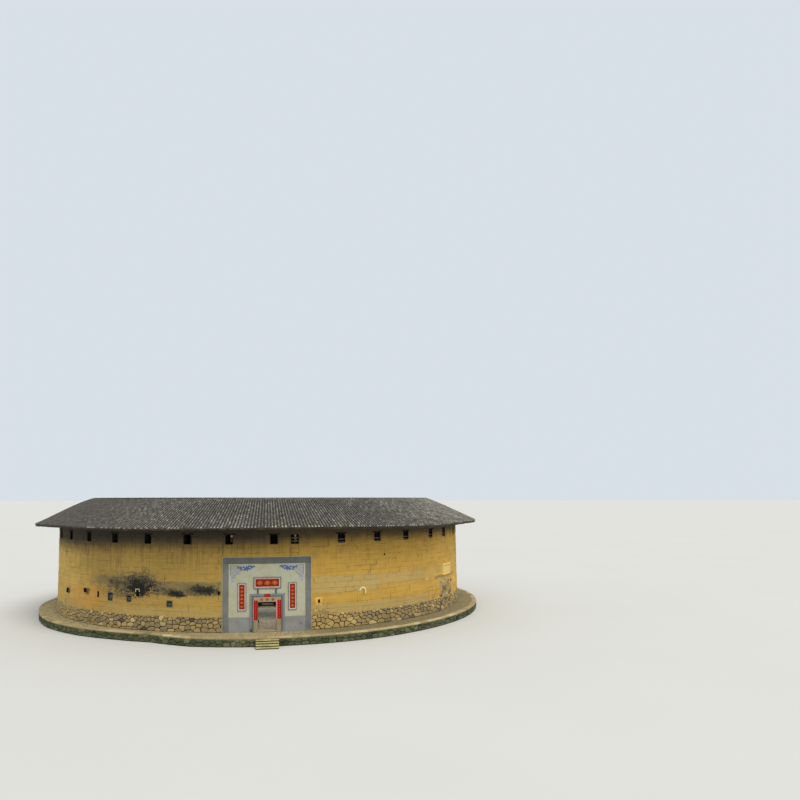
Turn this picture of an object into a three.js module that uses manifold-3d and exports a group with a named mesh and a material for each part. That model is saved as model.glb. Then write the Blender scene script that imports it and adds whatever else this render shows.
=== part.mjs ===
// Earth roundhouse (tulou): a ring of rammed earth three storeys high on a rubble footing and a
// stone plinth, with a tiled double-pitched roof, a plastered gate and timber galleries around the
// courtyard.
//
// Sizes are real millimetres. The outer group brings them to half size.
// Heights in names ending in _H are above the plinth's top, and z is above the ground.
// Angles are degrees round the ring from the gate, which faces -Y, and grow towards +X.
import * as THREE from 'three';
import { mergeVertices } from 'three/addons/utils/BufferGeometryUtils.js';
import Module from 'manifold-3d';

const wasm = await Module();
wasm.setup();

const MODEL_SCALE = 1 / 2;
const GAP = 0.6;
const FACET = 5;
const CUTTER_OVERLAP = 500;

// Plinth and the flight of steps up to it
const PLINTH_HEIGHT = 750;
const PLINTH_OUTER_R = 23900;
const PLINTH_INNER_R = 14000;
const COURTYARD_FLOOR_HEIGHT = 600;

// The plinth's edge is not quite round: [angle, radius] of its corners, straight between them
const PLINTH_EDGE = [
  [-180, PLINTH_OUTER_R],
  [-120, 23600],
  [-90, 23500],
  [-75, 23100],
  [-60, 23150],
  [-45, 22900],
  [-35, 22600],
  [-25, 22550],
  [-15, 23600],
  [-5, 23870],
  [0, PLINTH_OUTER_R],
  [20, PLINTH_OUTER_R],
  [45, 23600],
  [90, 23500],
  [120, 23600],
  [180, PLINTH_OUTER_R],
];
const STEP_COUNT = 4;
const STEP_RISE = PLINTH_HEIGHT / (STEP_COUNT + 1);
const STEP_GOING = 270;
const STEP_WIDTH = 1850;
const STEP_RUN = STEP_COUNT * STEP_GOING;

// Outer wall: rubble footing below, rammed earth above, leaning in by the batter
const WALL_R = 21500;
const WALL_INNER_R = 20200;
const WALL_BATTER = 250 / 9500;
const FOOTING_H = 1250;
const WALL_JOINTS = [0, 90, 185, 275, 360];

// One row of windows under the eaves: unevenly spaced on the gate side, evenly behind
const WINDOW_WIDTH = 600;
const WINDOW_HEIGHT = 780;
const WINDOW_SILL_H = 7380;
const GATE_SIDE_WINDOWS = [
  -67.3, -57.5, -47.6, -37.8, -28, -18.1, -8.5, 1.45, 6.2, 17.4, 27.25, 36.7, 47.5, 55.8,
];
const REAR_WINDOW_COUNT = 22;

// Roof: one closed ring with two slopes and a low ridge course
const EAVE_R = 23460;
const EAVE_H = 8700;
const ROOF_THICKNESS = 200;
const RIDGE_R = 18000;
const RIDGE_UNDERSIDE_H = 10960;
const RIDGE_COURSE_HALF = 200;
const RIDGE_TOP_H = 11220;
const INNER_EAVE_R = 13200;
const INNER_EAVE_H = 8860;
const RING_JOINTS = [-45, 45, 135, 225, 315];

// Gate: a plastered panel on the wall, with a stone door frame let into it
const PANEL_HALF = 9.9;
const PANEL_TOP_H = 6260;
const FIELD_HALF = 8.55;
const FIELD_TOP_H = 5720;
const DADO_TOP_H = 1270;
const BORDER_DEPTH = 60;
const DADO_DEPTH = 55;
const PLASTER_DEPTH = 45;
const SURROUND_WIDTH = 2900;
const SURROUND_TOP_H = 3210;
const SURROUND_DEPTH = 110;
const FRAME_WIDTH = 2270;
const FRAME_TOP_H = 2930;
const FRAME_PROUD = 80;
const FRAME_LET_IN = 350;
const DOOR_WIDTH = 1550;
const DOOR_H = 2530;
const SILL_H = 140;
const TRANSOM_LOW_H = 2000;
const TRANSOM_DEPTH = 90;
const OVER_GATE_HALF = 5;

// Plaques on the plaster: one over the door and one each side of it
const MAIN_PLAQUE = { middle: 0, width: 2300, low: 3630, high: 4620, depth: 70 };
const SIDE_PLAQUE = { middle: 5.6, width: 720, low: 1800, high: 4120, depth: 55 };

// Timber around the courtyard: upper floors, room fronts and galleries on posts
const FLOOR_TOPS_H = [3200, 6200];
const FLOOR_THICKNESS = 200;
const ROOM_FRONT_R = 16300;
const ROOM_FRONT_THICKNESS = 100;
const ROOM_DOOR_WIDTH = 900;
const ROOM_DOOR_HEIGHT = 2000;
const ROOM_DOOR_PITCH = 20;
const ROOM_DOOR_START = 10;
const HALL_WIDTH = 2400;
const HALL_HEIGHT = 2750;
const GALLERY_EDGE_R = 14800;
const GALLERY_CLEARANCE = 20;
const POST_SIZE = 220;
const POST_R = 14950;
const POST_START = 5;
const POST_PITCH = 10;
const POSTS_PER_QUARTER = 9;
const RAIL_SIZE = 100;
const RAIL_ABOVE_FLOOR = 950;
const HEAD_PLATE_DEPTH = 220;

const rad = THREE.MathUtils.degToRad;
const halfAngle = (width) => THREE.MathUtils.radToDeg(Math.asin(width / 2 / WALL_R));
const seam = (radius) => THREE.MathUtils.radToDeg(GAP / 2 / radius);
const height = (h) => PLINTH_HEIGHT + h;
const wallFace = (h) => WALL_R - WALL_BATTER * h;

const OUTER_SLOPE = (RIDGE_UNDERSIDE_H - EAVE_H) / (EAVE_R - RIDGE_R);
const outerUnderside = (radius) => EAVE_H + (EAVE_R - radius) * OUTER_SLOPE;

// Height at which the leaning outer face meets the roof's underside, less the gap
function wallTopH() {
  return (outerUnderside(WALL_R) - GAP) / (1 - WALL_BATTER * OUTER_SLOPE);
}

function innerUnderside(radius) {
  const slope = (RIDGE_UNDERSIDE_H - INNER_EAVE_H) / (RIDGE_R - INNER_EAVE_R);
  return INNER_EAVE_H + (radius - INNER_EAVE_R) * slope;
}

const material = (color, roughness) =>
  new THREE.MeshStandardMaterial({ color, roughness, metalness: 0 });

const EARTH = material(0xb08c42, 0.95);
const RUBBLE = material(0x8d8268, 0.95);
const FLAGSTONE = material(0x9c947c, 0.9);
const TILE = material(0x56544f, 0.85);
const GREY_PLASTER = material(0x707171, 0.85);
const WHITE_PLASTER = material(0xb7b49a, 0.9);
const GATE_STONE = material(0xa09173, 0.85);
const PLAQUE_BOARD = material(0x961e0f, 0.6);
const TIMBER = material(0x5a4632, 0.8);

const house = new THREE.Group();
house.scale.setScalar(MODEL_SCALE);
const ring = new THREE.Group();
ring.position.y = STEP_RUN / 2;
house.add(ring);

function addPiece(name, geometry, finish) {
  geometry.computeVertexNormals();
  const mesh = new THREE.Mesh(geometry, finish);
  mesh.name = name;
  ring.add(mesh);
}

function weld(geometry) {
  geometry.deleteAttribute('normal');
  geometry.deleteAttribute('uv');
  return mergeVertices(geometry);
}

function toSolid(geometry) {
  return new wasm.Manifold(
    new wasm.Mesh({
      numProp: 3,
      vertProperties: new Float32Array(geometry.attributes.position.array),
      triVerts: new Uint32Array(geometry.index.array),
    }),
  );
}

function toGeometry(solid) {
  const mesh = solid.getMesh();
  const geometry = new THREE.BufferGeometry();
  geometry.setAttribute('position', new THREE.BufferAttribute(mesh.vertProperties, 3));
  geometry.setIndex(new THREE.BufferAttribute(mesh.triVerts, 1));
  return geometry;
}

function cut(geometry, cutters) {
  const rest = cutters.reduce((solid, cutter) => solid.subtract(toSolid(cutter)), toSolid(geometry));
  return toGeometry(rest);
}

function join(geometries) {
  const [first, ...others] = geometries.map(toSolid);
  return toGeometry(others.reduce((solid, other) => solid.add(other), first));
}

// Angles where a sector has a corner: its two ends, and each whole facet between them
function cornerAngles(from, to) {
  const angles = [from];
  for (let k = Math.floor(from / FACET) + 1; k * FACET < to; k += 1) {
    angles.push(k * FACET);
  }
  return [...angles, to];
}

// A profile of [radius, z] points swept round the ring from one angle to another
function sector(profile, from, to, angles = cornerAngles(from, to)) {
  const shape = new THREE.Shape(profile.map(([radius, z]) => new THREE.Vector2(radius, z)));
  const spans = angles.length - 1;
  const geometry = new THREE.ExtrudeGeometry(shape, {
    depth: spans,
    steps: spans,
    bevelEnabled: false,
  });
  const position = geometry.attributes.position;
  for (let i = 0; i < position.count; i += 1) {
    const radius = position.getX(i);
    const z = position.getY(i);
    const angle = rad(angles[spans - Math.round(position.getZ(i))]);
    position.setXYZ(i, radius * Math.sin(angle), -radius * Math.cos(angle), z);
  }
  return weld(geometry);
}

// The same, kept clear of its neighbours at both ends
function jointedSector(profile, from, to) {
  const smallest = Math.min(...profile.map(([radius]) => radius));
  return sector(profile, from + seam(smallest), to - seam(smallest));
}

const rectangle = (innerR, outerR, low, high) => [
  [innerR, low],
  [outerR, low],
  [outerR, high],
  [innerR, high],
];

// A layer on the outer face of the wall, between two heights, following its batter
function facing(low, high, back, front) {
  return [
    [wallFace(low) + back, height(low)],
    [wallFace(low) + front, height(low)],
    [wallFace(high) + front, height(high)],
    [wallFace(high) + back, height(high)],
  ];
}

// A box across the ring's wall at an angle: width along the wall, depth across it
function radialBox(angle, radius, width, depth, low, high) {
  const box = new THREE.BoxGeometry(width, depth, high - low);
  box.translate(0, -radius, (low + high) / 2);
  box.rotateZ(rad(angle));
  return weld(box);
}

function nearGateBox(left, right, front, back, low, high) {
  const box = new THREE.BoxGeometry(right - left, front - back, high - low);
  box.translate((left + right) / 2, -(front + back) / 2, (low + high) / 2);
  return weld(box);
}

function windowAngles() {
  const last = GATE_SIDE_WINDOWS[GATE_SIDE_WINDOWS.length - 1];
  const pitch = (GATE_SIDE_WINDOWS[0] + 360 - last) / (REAR_WINDOW_COUNT + 1);
  const rear = Array.from({ length: REAR_WINDOW_COUNT }, (_, k) => last + (k + 1) * pitch);
  return [...GATE_SIDE_WINDOWS, ...rear];
}

function windowCutters() {
  const middle = (WALL_R + WALL_INNER_R) / 2;
  const depth = WALL_R - WALL_INNER_R + 2 * CUTTER_OVERLAP;
  const low = height(WINDOW_SILL_H);
  return windowAngles().map((angle) =>
    radialBox(angle, middle, WINDOW_WIDTH, depth, low, low + WINDOW_HEIGHT),
  );
}

function doorwayCutters() {
  const bottom = -CUTTER_OVERLAP;
  const outside = WALL_R + CUTTER_OVERLAP;
  const halfFrame = FRAME_WIDTH / 2 + GAP;
  const halfDoor = DOOR_WIDTH / 2;
  const letIn = WALL_R - FRAME_LET_IN - GAP;
  const inside = WALL_INNER_R - CUTTER_OVERLAP;
  return [
    nearGateBox(-halfFrame, halfFrame, outside, letIn, bottom, height(FRAME_TOP_H) + GAP),
    nearGateBox(-halfDoor, halfDoor, outside, inside, bottom, height(DOOR_H)),
  ];
}

// Radius of the plinth's edge at an angle from -180 to 180
function plinthEdge(angle) {
  const next = Math.max(1, PLINTH_EDGE.findIndex(([corner]) => corner >= angle));
  const [from, near] = PLINTH_EDGE[next - 1];
  const [to, far] = PLINTH_EDGE[next];
  return THREE.MathUtils.mapLinear(angle, from, to, near, far);
}

function makePlinth() {
  const profile = rectangle(PLINTH_INNER_R, PLINTH_OUTER_R, 0, PLINTH_HEIGHT);
  for (let i = 0; i < RING_JOINTS.length - 1; i += 1) {
    const quarter = jointedSector(profile, RING_JOINTS[i], RING_JOINTS[i + 1]);
    const position = quarter.attributes.position;
    for (let k = 0; k < position.count; k += 1) {
      const [x, y] = [position.getX(k), position.getY(k)];
      const radius = Math.hypot(x, y);
      if (radius > WALL_R) {
        const scale = plinthEdge(THREE.MathUtils.radToDeg(Math.atan2(x, -y))) / radius;
        position.setXY(k, x * scale, y * scale);
      }
    }
    addPiece(`plinth_${i + 1}`, quarter, RUBBLE);
  }
}

function makeCourtyardFloor() {
  const radius = PLINTH_INNER_R - GAP;
  const sides = 360 / FACET;
  const floor = new THREE.CylinderGeometry(radius, radius, COURTYARD_FLOOR_HEIGHT, sides);
  floor.rotateX(Math.PI / 2);
  floor.translate(0, 0, COURTYARD_FLOOR_HEIGHT / 2);
  addPiece('courtyard_floor', weld(floor), RUBBLE);
}

function makeSteps() {
  const back = PLINTH_OUTER_R + GAP;
  for (let i = 0; i < STEP_COUNT; i += 1) {
    const front = PLINTH_OUTER_R + STEP_RUN - i * STEP_GOING;
    const low = i * STEP_RISE + (i > 0 ? GAP : 0);
    const high = (i + 1) * STEP_RISE;
    const step = nearGateBox(-STEP_WIDTH / 2, STEP_WIDTH / 2, front, back, low, high);
    addPiece(`gate_step_${i + 1}`, step, FLAGSTONE);
  }
}

// A level course of the outer wall, between two heights
function courseProfile(low, high) {
  return [
    [WALL_INNER_R, height(low)],
    [wallFace(low), height(low)],
    [wallFace(high), height(high)],
    [WALL_INNER_R, height(high)],
  ];
}

function makeFooting() {
  const profile = courseProfile(GAP, FOOTING_H);
  for (let i = 0; i < WALL_JOINTS.length - 1; i += 1) {
    const solid = jointedSector(profile, WALL_JOINTS[i], WALL_JOINTS[i + 1]);
    addPiece(`stone_footing_${i + 1}`, cut(solid, doorwayCutters()), RUBBLE);
  }
}

function makeEarthWall() {
  const overGate = sector(courseProfile(DOOR_H, WINDOW_SILL_H), -OVER_GATE_HALF, OVER_GATE_HALF);
  const clearing = rectangle(
    WALL_INNER_R - CUTTER_OVERLAP,
    WALL_R + CUTTER_OVERLAP,
    height(DOOR_H) - GAP,
    height(WINDOW_SILL_H) + GAP,
  );
  const joint = seam(WALL_INNER_R) * 2;
  const clearAngles = [-OVER_GATE_HALF - joint, 0, OVER_GATE_HALF + joint];
  const overGateSpace = sector(clearing, clearAngles[0], clearAngles[2], clearAngles);
  const doorway = doorwayCutters();
  addPiece('earth_wall_over_gate', cut(overGate, doorway), EARTH);
  const profile = courseProfile(FOOTING_H + GAP, WINDOW_SILL_H);
  for (let i = 0; i < WALL_JOINTS.length - 1; i += 1) {
    const solid = jointedSector(profile, WALL_JOINTS[i], WALL_JOINTS[i + 1]);
    addPiece(`earth_wall_${i + 1}`, cut(solid, [overGateSpace, ...doorway]), EARTH);
  }
}

// The wall's last course, from the window sills up to the roof's sloping underside
function makeWindowCourse() {
  const low = WINDOW_SILL_H + GAP;
  const profile = [
    [WALL_INNER_R, height(low)],
    [wallFace(low), height(low)],
    [wallFace(wallTopH()), height(wallTopH())],
    [WALL_INNER_R, height(outerUnderside(WALL_INNER_R) - GAP)],
  ];
  const windows = windowCutters();
  for (let i = 0; i < RING_JOINTS.length - 1; i += 1) {
    const solid = jointedSector(profile, RING_JOINTS[i], RING_JOINTS[i + 1]);
    addPiece(`window_course_${i + 1}`, cut(solid, windows), EARTH);
  }
}

function makeRoof() {
  const slopeTop = RIDGE_TOP_H - ROOF_THICKNESS;
  const profile = [
    [INNER_EAVE_R, INNER_EAVE_H],
    [RIDGE_R, RIDGE_UNDERSIDE_H],
    [EAVE_R, EAVE_H],
    [EAVE_R, EAVE_H + ROOF_THICKNESS],
    [RIDGE_R + RIDGE_COURSE_HALF, slopeTop],
    [RIDGE_R + RIDGE_COURSE_HALF, RIDGE_TOP_H],
    [RIDGE_R - RIDGE_COURSE_HALF, RIDGE_TOP_H],
    [RIDGE_R - RIDGE_COURSE_HALF, slopeTop],
    [INNER_EAVE_R, INNER_EAVE_H + ROOF_THICKNESS],
  ].map(([radius, h]) => [radius, height(h)]);
  for (let i = 0; i < RING_JOINTS.length - 1; i += 1) {
    addPiece(`roof_${i + 1}`, jointedSector(profile, RING_JOINTS[i], RING_JOINTS[i + 1]), TILE);
  }
}

function makePanel() {
  const border = sector(facing(GAP, PANEL_TOP_H, GAP, BORDER_DEPTH), -PANEL_HALF, PANEL_HALF);
  const inner = facing(-CUTTER_OVERLAP, FIELD_TOP_H, -CUTTER_OVERLAP, CUTTER_OVERLAP);
  addPiece('gate_border', cut(border, [sector(inner, -FIELD_HALF, FIELD_HALF)]), GREY_PLASTER);

  const edge = seam(WALL_R) * 2;
  const doorHalf = halfAngle(SURROUND_WIDTH) + edge;
  const fieldLow = DADO_TOP_H + GAP;
  const fieldHigh = FIELD_TOP_H - GAP;
  const field = sector(
    facing(fieldLow, fieldHigh, GAP, PLASTER_DEPTH),
    -FIELD_HALF + edge,
    FIELD_HALF - edge,
  );
  const doorSpace = facing(0, SURROUND_TOP_H + GAP, -CUTTER_OVERLAP, CUTTER_OVERLAP);
  addPiece('gate_plaster', cut(field, [sector(doorSpace, -doorHalf, doorHalf)]), WHITE_PLASTER);

  const dado = facing(GAP, DADO_TOP_H, GAP, DADO_DEPTH);
  addPiece('gate_dado_left', sector(dado, -FIELD_HALF + edge, -doorHalf), GREY_PLASTER);
  addPiece('gate_dado_right', sector(dado, doorHalf, FIELD_HALF - edge), GREY_PLASTER);
}

function makeDoorway() {
  const half = halfAngle(SURROUND_WIDTH);
  const surround = sector(facing(GAP, SURROUND_TOP_H, GAP, SURROUND_DEPTH), -half, half);
  const front = WALL_R + FRAME_PROUD;
  const back = WALL_R - FRAME_LET_IN;
  const clearWidth = FRAME_WIDTH / 2 + GAP;
  const outside = WALL_R + CUTTER_OVERLAP;
  const inside = WALL_R - CUTTER_OVERLAP;
  const frameTop = height(FRAME_TOP_H) + GAP;
  const frameSpace = nearGateBox(-clearWidth, clearWidth, outside, inside, 0, frameTop);
  addPiece('door_surround', cut(surround, [frameSpace]), GREY_PLASTER);

  const low = height(GAP);
  const jambTop = height(DOOR_H) - GAP;
  const outer = FRAME_WIDTH / 2;
  const inner = DOOR_WIDTH / 2;
  addPiece('door_jamb_left', nearGateBox(-outer, -inner, front, back, low, jambTop), GATE_STONE);
  addPiece('door_jamb_right', nearGateBox(inner, outer, front, back, low, jambTop), GATE_STONE);
  const lintel = nearGateBox(-outer, outer, front, back, height(DOOR_H), height(FRAME_TOP_H));
  addPiece('door_lintel', lintel, GATE_STONE);
  const sillHalf = inner - GAP;
  const sill = nearGateBox(-sillHalf, sillHalf, front, back, low, height(SILL_H));
  addPiece('door_sill', sill, GATE_STONE);

  const behind = back - GAP;
  const transomLow = height(TRANSOM_LOW_H);
  const transomTop = height(DOOR_H) - GAP;
  const transomBack = behind - TRANSOM_DEPTH;
  const transom = nearGateBox(-sillHalf, sillHalf, behind, transomBack, transomLow, transomTop);
  addPiece('door_transom', transom, TIMBER);
}

function makePlaque(name, plaque, middle) {
  const half = halfAngle(plaque.width);
  const back = PLASTER_DEPTH + GAP;
  const profile = facing(plaque.low, plaque.high, back, back + plaque.depth);
  addPiece(name, sector(profile, middle - half, middle + half), PLAQUE_BOARD);
}

function makePlaques() {
  makePlaque('plaque_over_door', MAIN_PLAQUE, MAIN_PLAQUE.middle);
  makePlaque('plaque_left', SIDE_PLAQUE, -SIDE_PLAQUE.middle);
  makePlaque('plaque_right', SIDE_PLAQUE, SIDE_PLAQUE.middle);
}

function makeFloors() {
  const inner = ROOM_FRONT_R + ROOM_FRONT_THICKNESS + GAP;
  const outer = WALL_INNER_R - GAP;
  FLOOR_TOPS_H.forEach((top, i) => {
    const profile = rectangle(inner, outer, height(top - FLOOR_THICKNESS), height(top));
    addPiece(`floor_${i + 2}_right`, jointedSector(profile, 0, 180), TIMBER);
    addPiece(`floor_${i + 2}_left`, jointedSector(profile, 180, 360), TIMBER);
  });
}

function roomFrontCutters() {
  const radius = ROOM_FRONT_R + ROOM_FRONT_THICKNESS / 2;
  const depth = 2 * CUTTER_OVERLAP;
  const bottom = height(-CUTTER_OVERLAP);
  const cutters = [radialBox(0, radius, HALL_WIDTH, depth, bottom, height(HALL_HEIGHT))];
  for (let angle = ROOM_DOOR_START; angle < 360; angle += ROOM_DOOR_PITCH) {
    [0, ...FLOOR_TOPS_H].forEach((floor) => {
      const low = floor === 0 ? bottom : height(floor);
      const high = height(floor + ROOM_DOOR_HEIGHT);
      cutters.push(radialBox(angle, radius, ROOM_DOOR_WIDTH, depth, low, high));
    });
  }
  return cutters;
}

function makeRoomFronts() {
  const outer = ROOM_FRONT_R + ROOM_FRONT_THICKNESS;
  const profile = [
    [ROOM_FRONT_R, height(GAP)],
    [outer, height(GAP)],
    [outer, height(innerUnderside(outer) - GAP)],
    [ROOM_FRONT_R, height(innerUnderside(ROOM_FRONT_R) - GAP)],
  ];
  const cutters = roomFrontCutters();
  for (let i = 0; i < RING_JOINTS.length - 1; i += 1) {
    const solid = jointedSector(profile, RING_JOINTS[i], RING_JOINTS[i + 1]);
    addPiece(`room_front_${i + 1}`, cut(solid, cutters), TIMBER);
  }
}

// Corners of a gallery run: one at each post, with straight timbers between posts
function galleryAngles(firstPost) {
  const overlap = THREE.MathUtils.radToDeg(POST_SIZE / 2 / POST_R);
  const clearOfPost = THREE.MathUtils.radToDeg((POST_SIZE / 2 + GAP) / (POST_R - POST_SIZE / 2));
  const posts = Array.from({ length: POSTS_PER_QUARTER }, (_, k) => firstPost + k * POST_PITCH);
  const next = firstPost + POSTS_PER_QUARTER * POST_PITCH;
  return [firstPost - overlap, ...posts, next - clearOfPost];
}

function galleryPosts(firstPost) {
  const top = height(innerUnderside(POST_R - POST_SIZE / 2) - HEAD_PLATE_DEPTH / 2);
  return Array.from({ length: POSTS_PER_QUARTER }, (_, k) =>
    radialBox(firstPost + k * POST_PITCH, POST_R, POST_SIZE, POST_SIZE, height(GAP), top),
  );
}

function makeGallery(name, firstPost) {
  const angles = galleryAngles(firstPost);
  const [from, to] = [angles[0], angles[angles.length - 1]];
  const deckOuter = ROOM_FRONT_R - GALLERY_CLEARANCE;
  const railInner = POST_R - RAIL_SIZE / 2;
  const timbers = FLOOR_TOPS_H.flatMap((top) => {
    const deck = rectangle(GALLERY_EDGE_R, deckOuter, height(top - FLOOR_THICKNESS), height(top));
    const railTop = height(top + RAIL_ABOVE_FLOOR);
    const rail = rectangle(railInner, railInner + RAIL_SIZE, railTop - RAIL_SIZE, railTop);
    return [sector(deck, from, to, angles), sector(rail, from, to, angles)];
  });
  const plateInner = POST_R - POST_SIZE / 2;
  const plateOuter = POST_R + POST_SIZE / 2;
  const plate = [
    [plateInner, height(innerUnderside(plateInner) - HEAD_PLATE_DEPTH)],
    [plateOuter, height(innerUnderside(plateInner) - HEAD_PLATE_DEPTH)],
    [plateOuter, height(innerUnderside(plateOuter) - GAP)],
    [plateInner, height(innerUnderside(plateInner) - GAP)],
  ];
  timbers.push(sector(plate, from, to));
  addPiece(name, join([...timbers, ...galleryPosts(firstPost)]), TIMBER);
}

function makeGalleries() {
  const quarter = POSTS_PER_QUARTER * POST_PITCH;
  for (let i = 0; i * quarter < 360; i += 1) {
    makeGallery(`gallery_${i + 1}`, POST_START + i * quarter);
  }
}

makePlinth();
makeCourtyardFloor();
makeSteps();
makeFooting();
makeEarthWall();
makeWindowCourse();
makeRoof();
makePanel();
makeDoorway();
makePlaques();
makeFloors();
makeRoomFronts();
makeGalleries();

export default house;
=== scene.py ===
"""Visual model of the tulou roundhouse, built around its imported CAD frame.

Sizes are metres of the real house: radii from the ring's middle and heights above the plinth's
top. Angles are degrees round the ring from the gate, and grow to the right as seen from outside.
to_model() brings them to the frame of the 1:2 model.
"""
import math

import bmesh
import bpy
import numpy as np
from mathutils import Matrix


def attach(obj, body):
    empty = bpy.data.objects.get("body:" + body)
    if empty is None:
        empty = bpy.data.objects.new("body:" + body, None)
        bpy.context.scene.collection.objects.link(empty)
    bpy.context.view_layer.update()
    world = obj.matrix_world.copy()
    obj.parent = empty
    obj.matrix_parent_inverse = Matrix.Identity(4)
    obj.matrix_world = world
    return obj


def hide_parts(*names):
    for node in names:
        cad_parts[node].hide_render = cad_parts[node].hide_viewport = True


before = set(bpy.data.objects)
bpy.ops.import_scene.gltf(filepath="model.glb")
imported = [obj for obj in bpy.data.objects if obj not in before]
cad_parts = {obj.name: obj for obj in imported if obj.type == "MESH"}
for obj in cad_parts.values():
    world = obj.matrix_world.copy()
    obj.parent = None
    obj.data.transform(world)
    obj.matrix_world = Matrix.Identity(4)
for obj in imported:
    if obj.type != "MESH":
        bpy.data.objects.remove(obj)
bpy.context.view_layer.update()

# Sizes shared with the CAD part
SCALE = 0.5
RING_MIDDLE_Y = 0.27
PLINTH_H = 0.75
PLINTH_OUTER_R, PLINTH_INNER_R = 23.9, 14.0
# The plinth's uneven edge as (angle, radius)
PLINTH_EDGE = [
    (-180, 23.9), (-120, 23.6), (-90, 23.5), (-75, 23.1), (-60, 23.15), (-45, 22.9), (-35, 22.6),
    (-25, 22.55), (-15, 23.6), (-5, 23.87), (0, 23.9), (20, 23.9), (45, 23.6), (90, 23.5), (120, 23.6),
    (180, 23.9),
]
STEP_COUNT, STEP_RISE, STEP_GOING, STEP_HALF = 4, 0.15, 0.27, 0.925
WALL_R, WALL_INNER_R = 21.5, 20.2
BATTER = 0.25 / 9.5
FOOTING_H = 1.25
WALL_TOP_OUTER_H, WALL_TOP_INNER_H = 9.41, 9.95
WINDOW_WIDTH, WINDOW_HEIGHT, WINDOW_SILL_H = 0.60, 0.78, 7.38
WINDOWS = [-67.3, -57.5, -47.6, -37.8, -28.0, -18.1, -8.5, 1.45, 6.2, 17.4, 27.25, 36.7, 47.5, 55.8]
WINDOWS += [55.8 + (360 - 67.3 - 55.8) * k / 23 for k in range(1, 23)]
BRICK_WINDOW = 6.2
EAVE_R, EAVE_H = 23.46, 8.70
INNER_EAVE_R, INNER_EAVE_H = 13.2, 8.86
RIDGE_R, RIDGE_UNDERSIDE_H, RIDGE_TOP_H = 18.0, 10.96, 11.22
# Half the gate panel's width in degrees
PANEL_HALF = 9.9
DOOR_HALF, DOOR_H = 0.775, 2.53
FRAME_HALF, FRAME_TOP_H = 1.135, 2.93
LIFT = 0.45
FLOORS = (0.0, 3.2, 6.2)
ROOM_FRONT_R, POST_R, POSTS = 16.3, 14.95, 36


def to_model(points):
    """Metres from the ring's middle and above the plinth, in the model's frame."""
    return np.asarray(points, float) * SCALE + (0.0, RING_MIDDLE_Y, PLINTH_H * SCALE)


def on_ring(angle, radius, h):
    """Points at angles, radii and heights, which may be arrays."""
    a = np.radians(angle)
    return np.stack(np.broadcast_arrays(radius * np.sin(a), -radius * np.cos(a), h), axis=-1)


def from_gate(angle):
    """The same angle, from -180 to 180."""
    return (angle + 180) % 360 - 180


def by_angle(table, angle):
    """A value between the (angle, value) rows of a table."""
    return np.interp(from_gate(np.asarray(angle)), *zip(*table))


def wall_face(h):
    """Radius of the wall's leaning outer face."""
    return WALL_R - BATTER * h


def plinth_edge(angle):
    """Radius of the plinth's uneven edge."""
    return by_angle(PLINTH_EDGE, angle)


def arc_degrees(length, radius=WALL_R):
    return math.degrees(length / radius)


def any_tone(rng, middle, spread):
    """A random tone, from 0 to 1."""
    return float(np.clip(rng.normal(middle, spread), 0, 1))


class Ripple:
    """Smooth seeded waves, about -1 to 1, that close on themselves round the ring."""

    def __init__(self, seed, around, upward, waves=24):
        rng = np.random.default_rng(seed)
        self.around = rng.integers(around // 4, around, waves)
        self.upward = rng.uniform(-upward, upward, waves)
        self.phase = rng.uniform(0, 2 * np.pi, waves)

    def __call__(self, angle, h):
        angle, h = np.broadcast_arrays(np.radians(angle), h)
        waves = np.sin(angle[..., None] * self.around + h[..., None] * self.upward + self.phase)
        return waves.sum(-1) / math.sqrt(2 * len(self.phase))


# Materials
def rgb(red, green, blue):
    """A photograph's 0-255 colour as a linear one."""
    channels = [c / 255 for c in (red, green, blue)]
    linear = [c / 12.92 if c <= 0.04045 else ((c + 0.055) / 1.055) ** 2.4 for c in channels]
    return (*linear, 1.0)


class Value:
    """A node's output. Arithmetic on it adds math nodes."""

    def __init__(self, finish, socket):
        self.finish = finish
        self.socket = socket

    def __add__(self, other):
        return self.finish.number("ADD", self, other)

    def __sub__(self, other):
        return self.finish.number("SUBTRACT", self, other)

    def __mul__(self, other):
        return self.finish.number("MULTIPLY", self, other)

    def __truediv__(self, other):
        return self.finish.number("DIVIDE", self, other)


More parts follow.
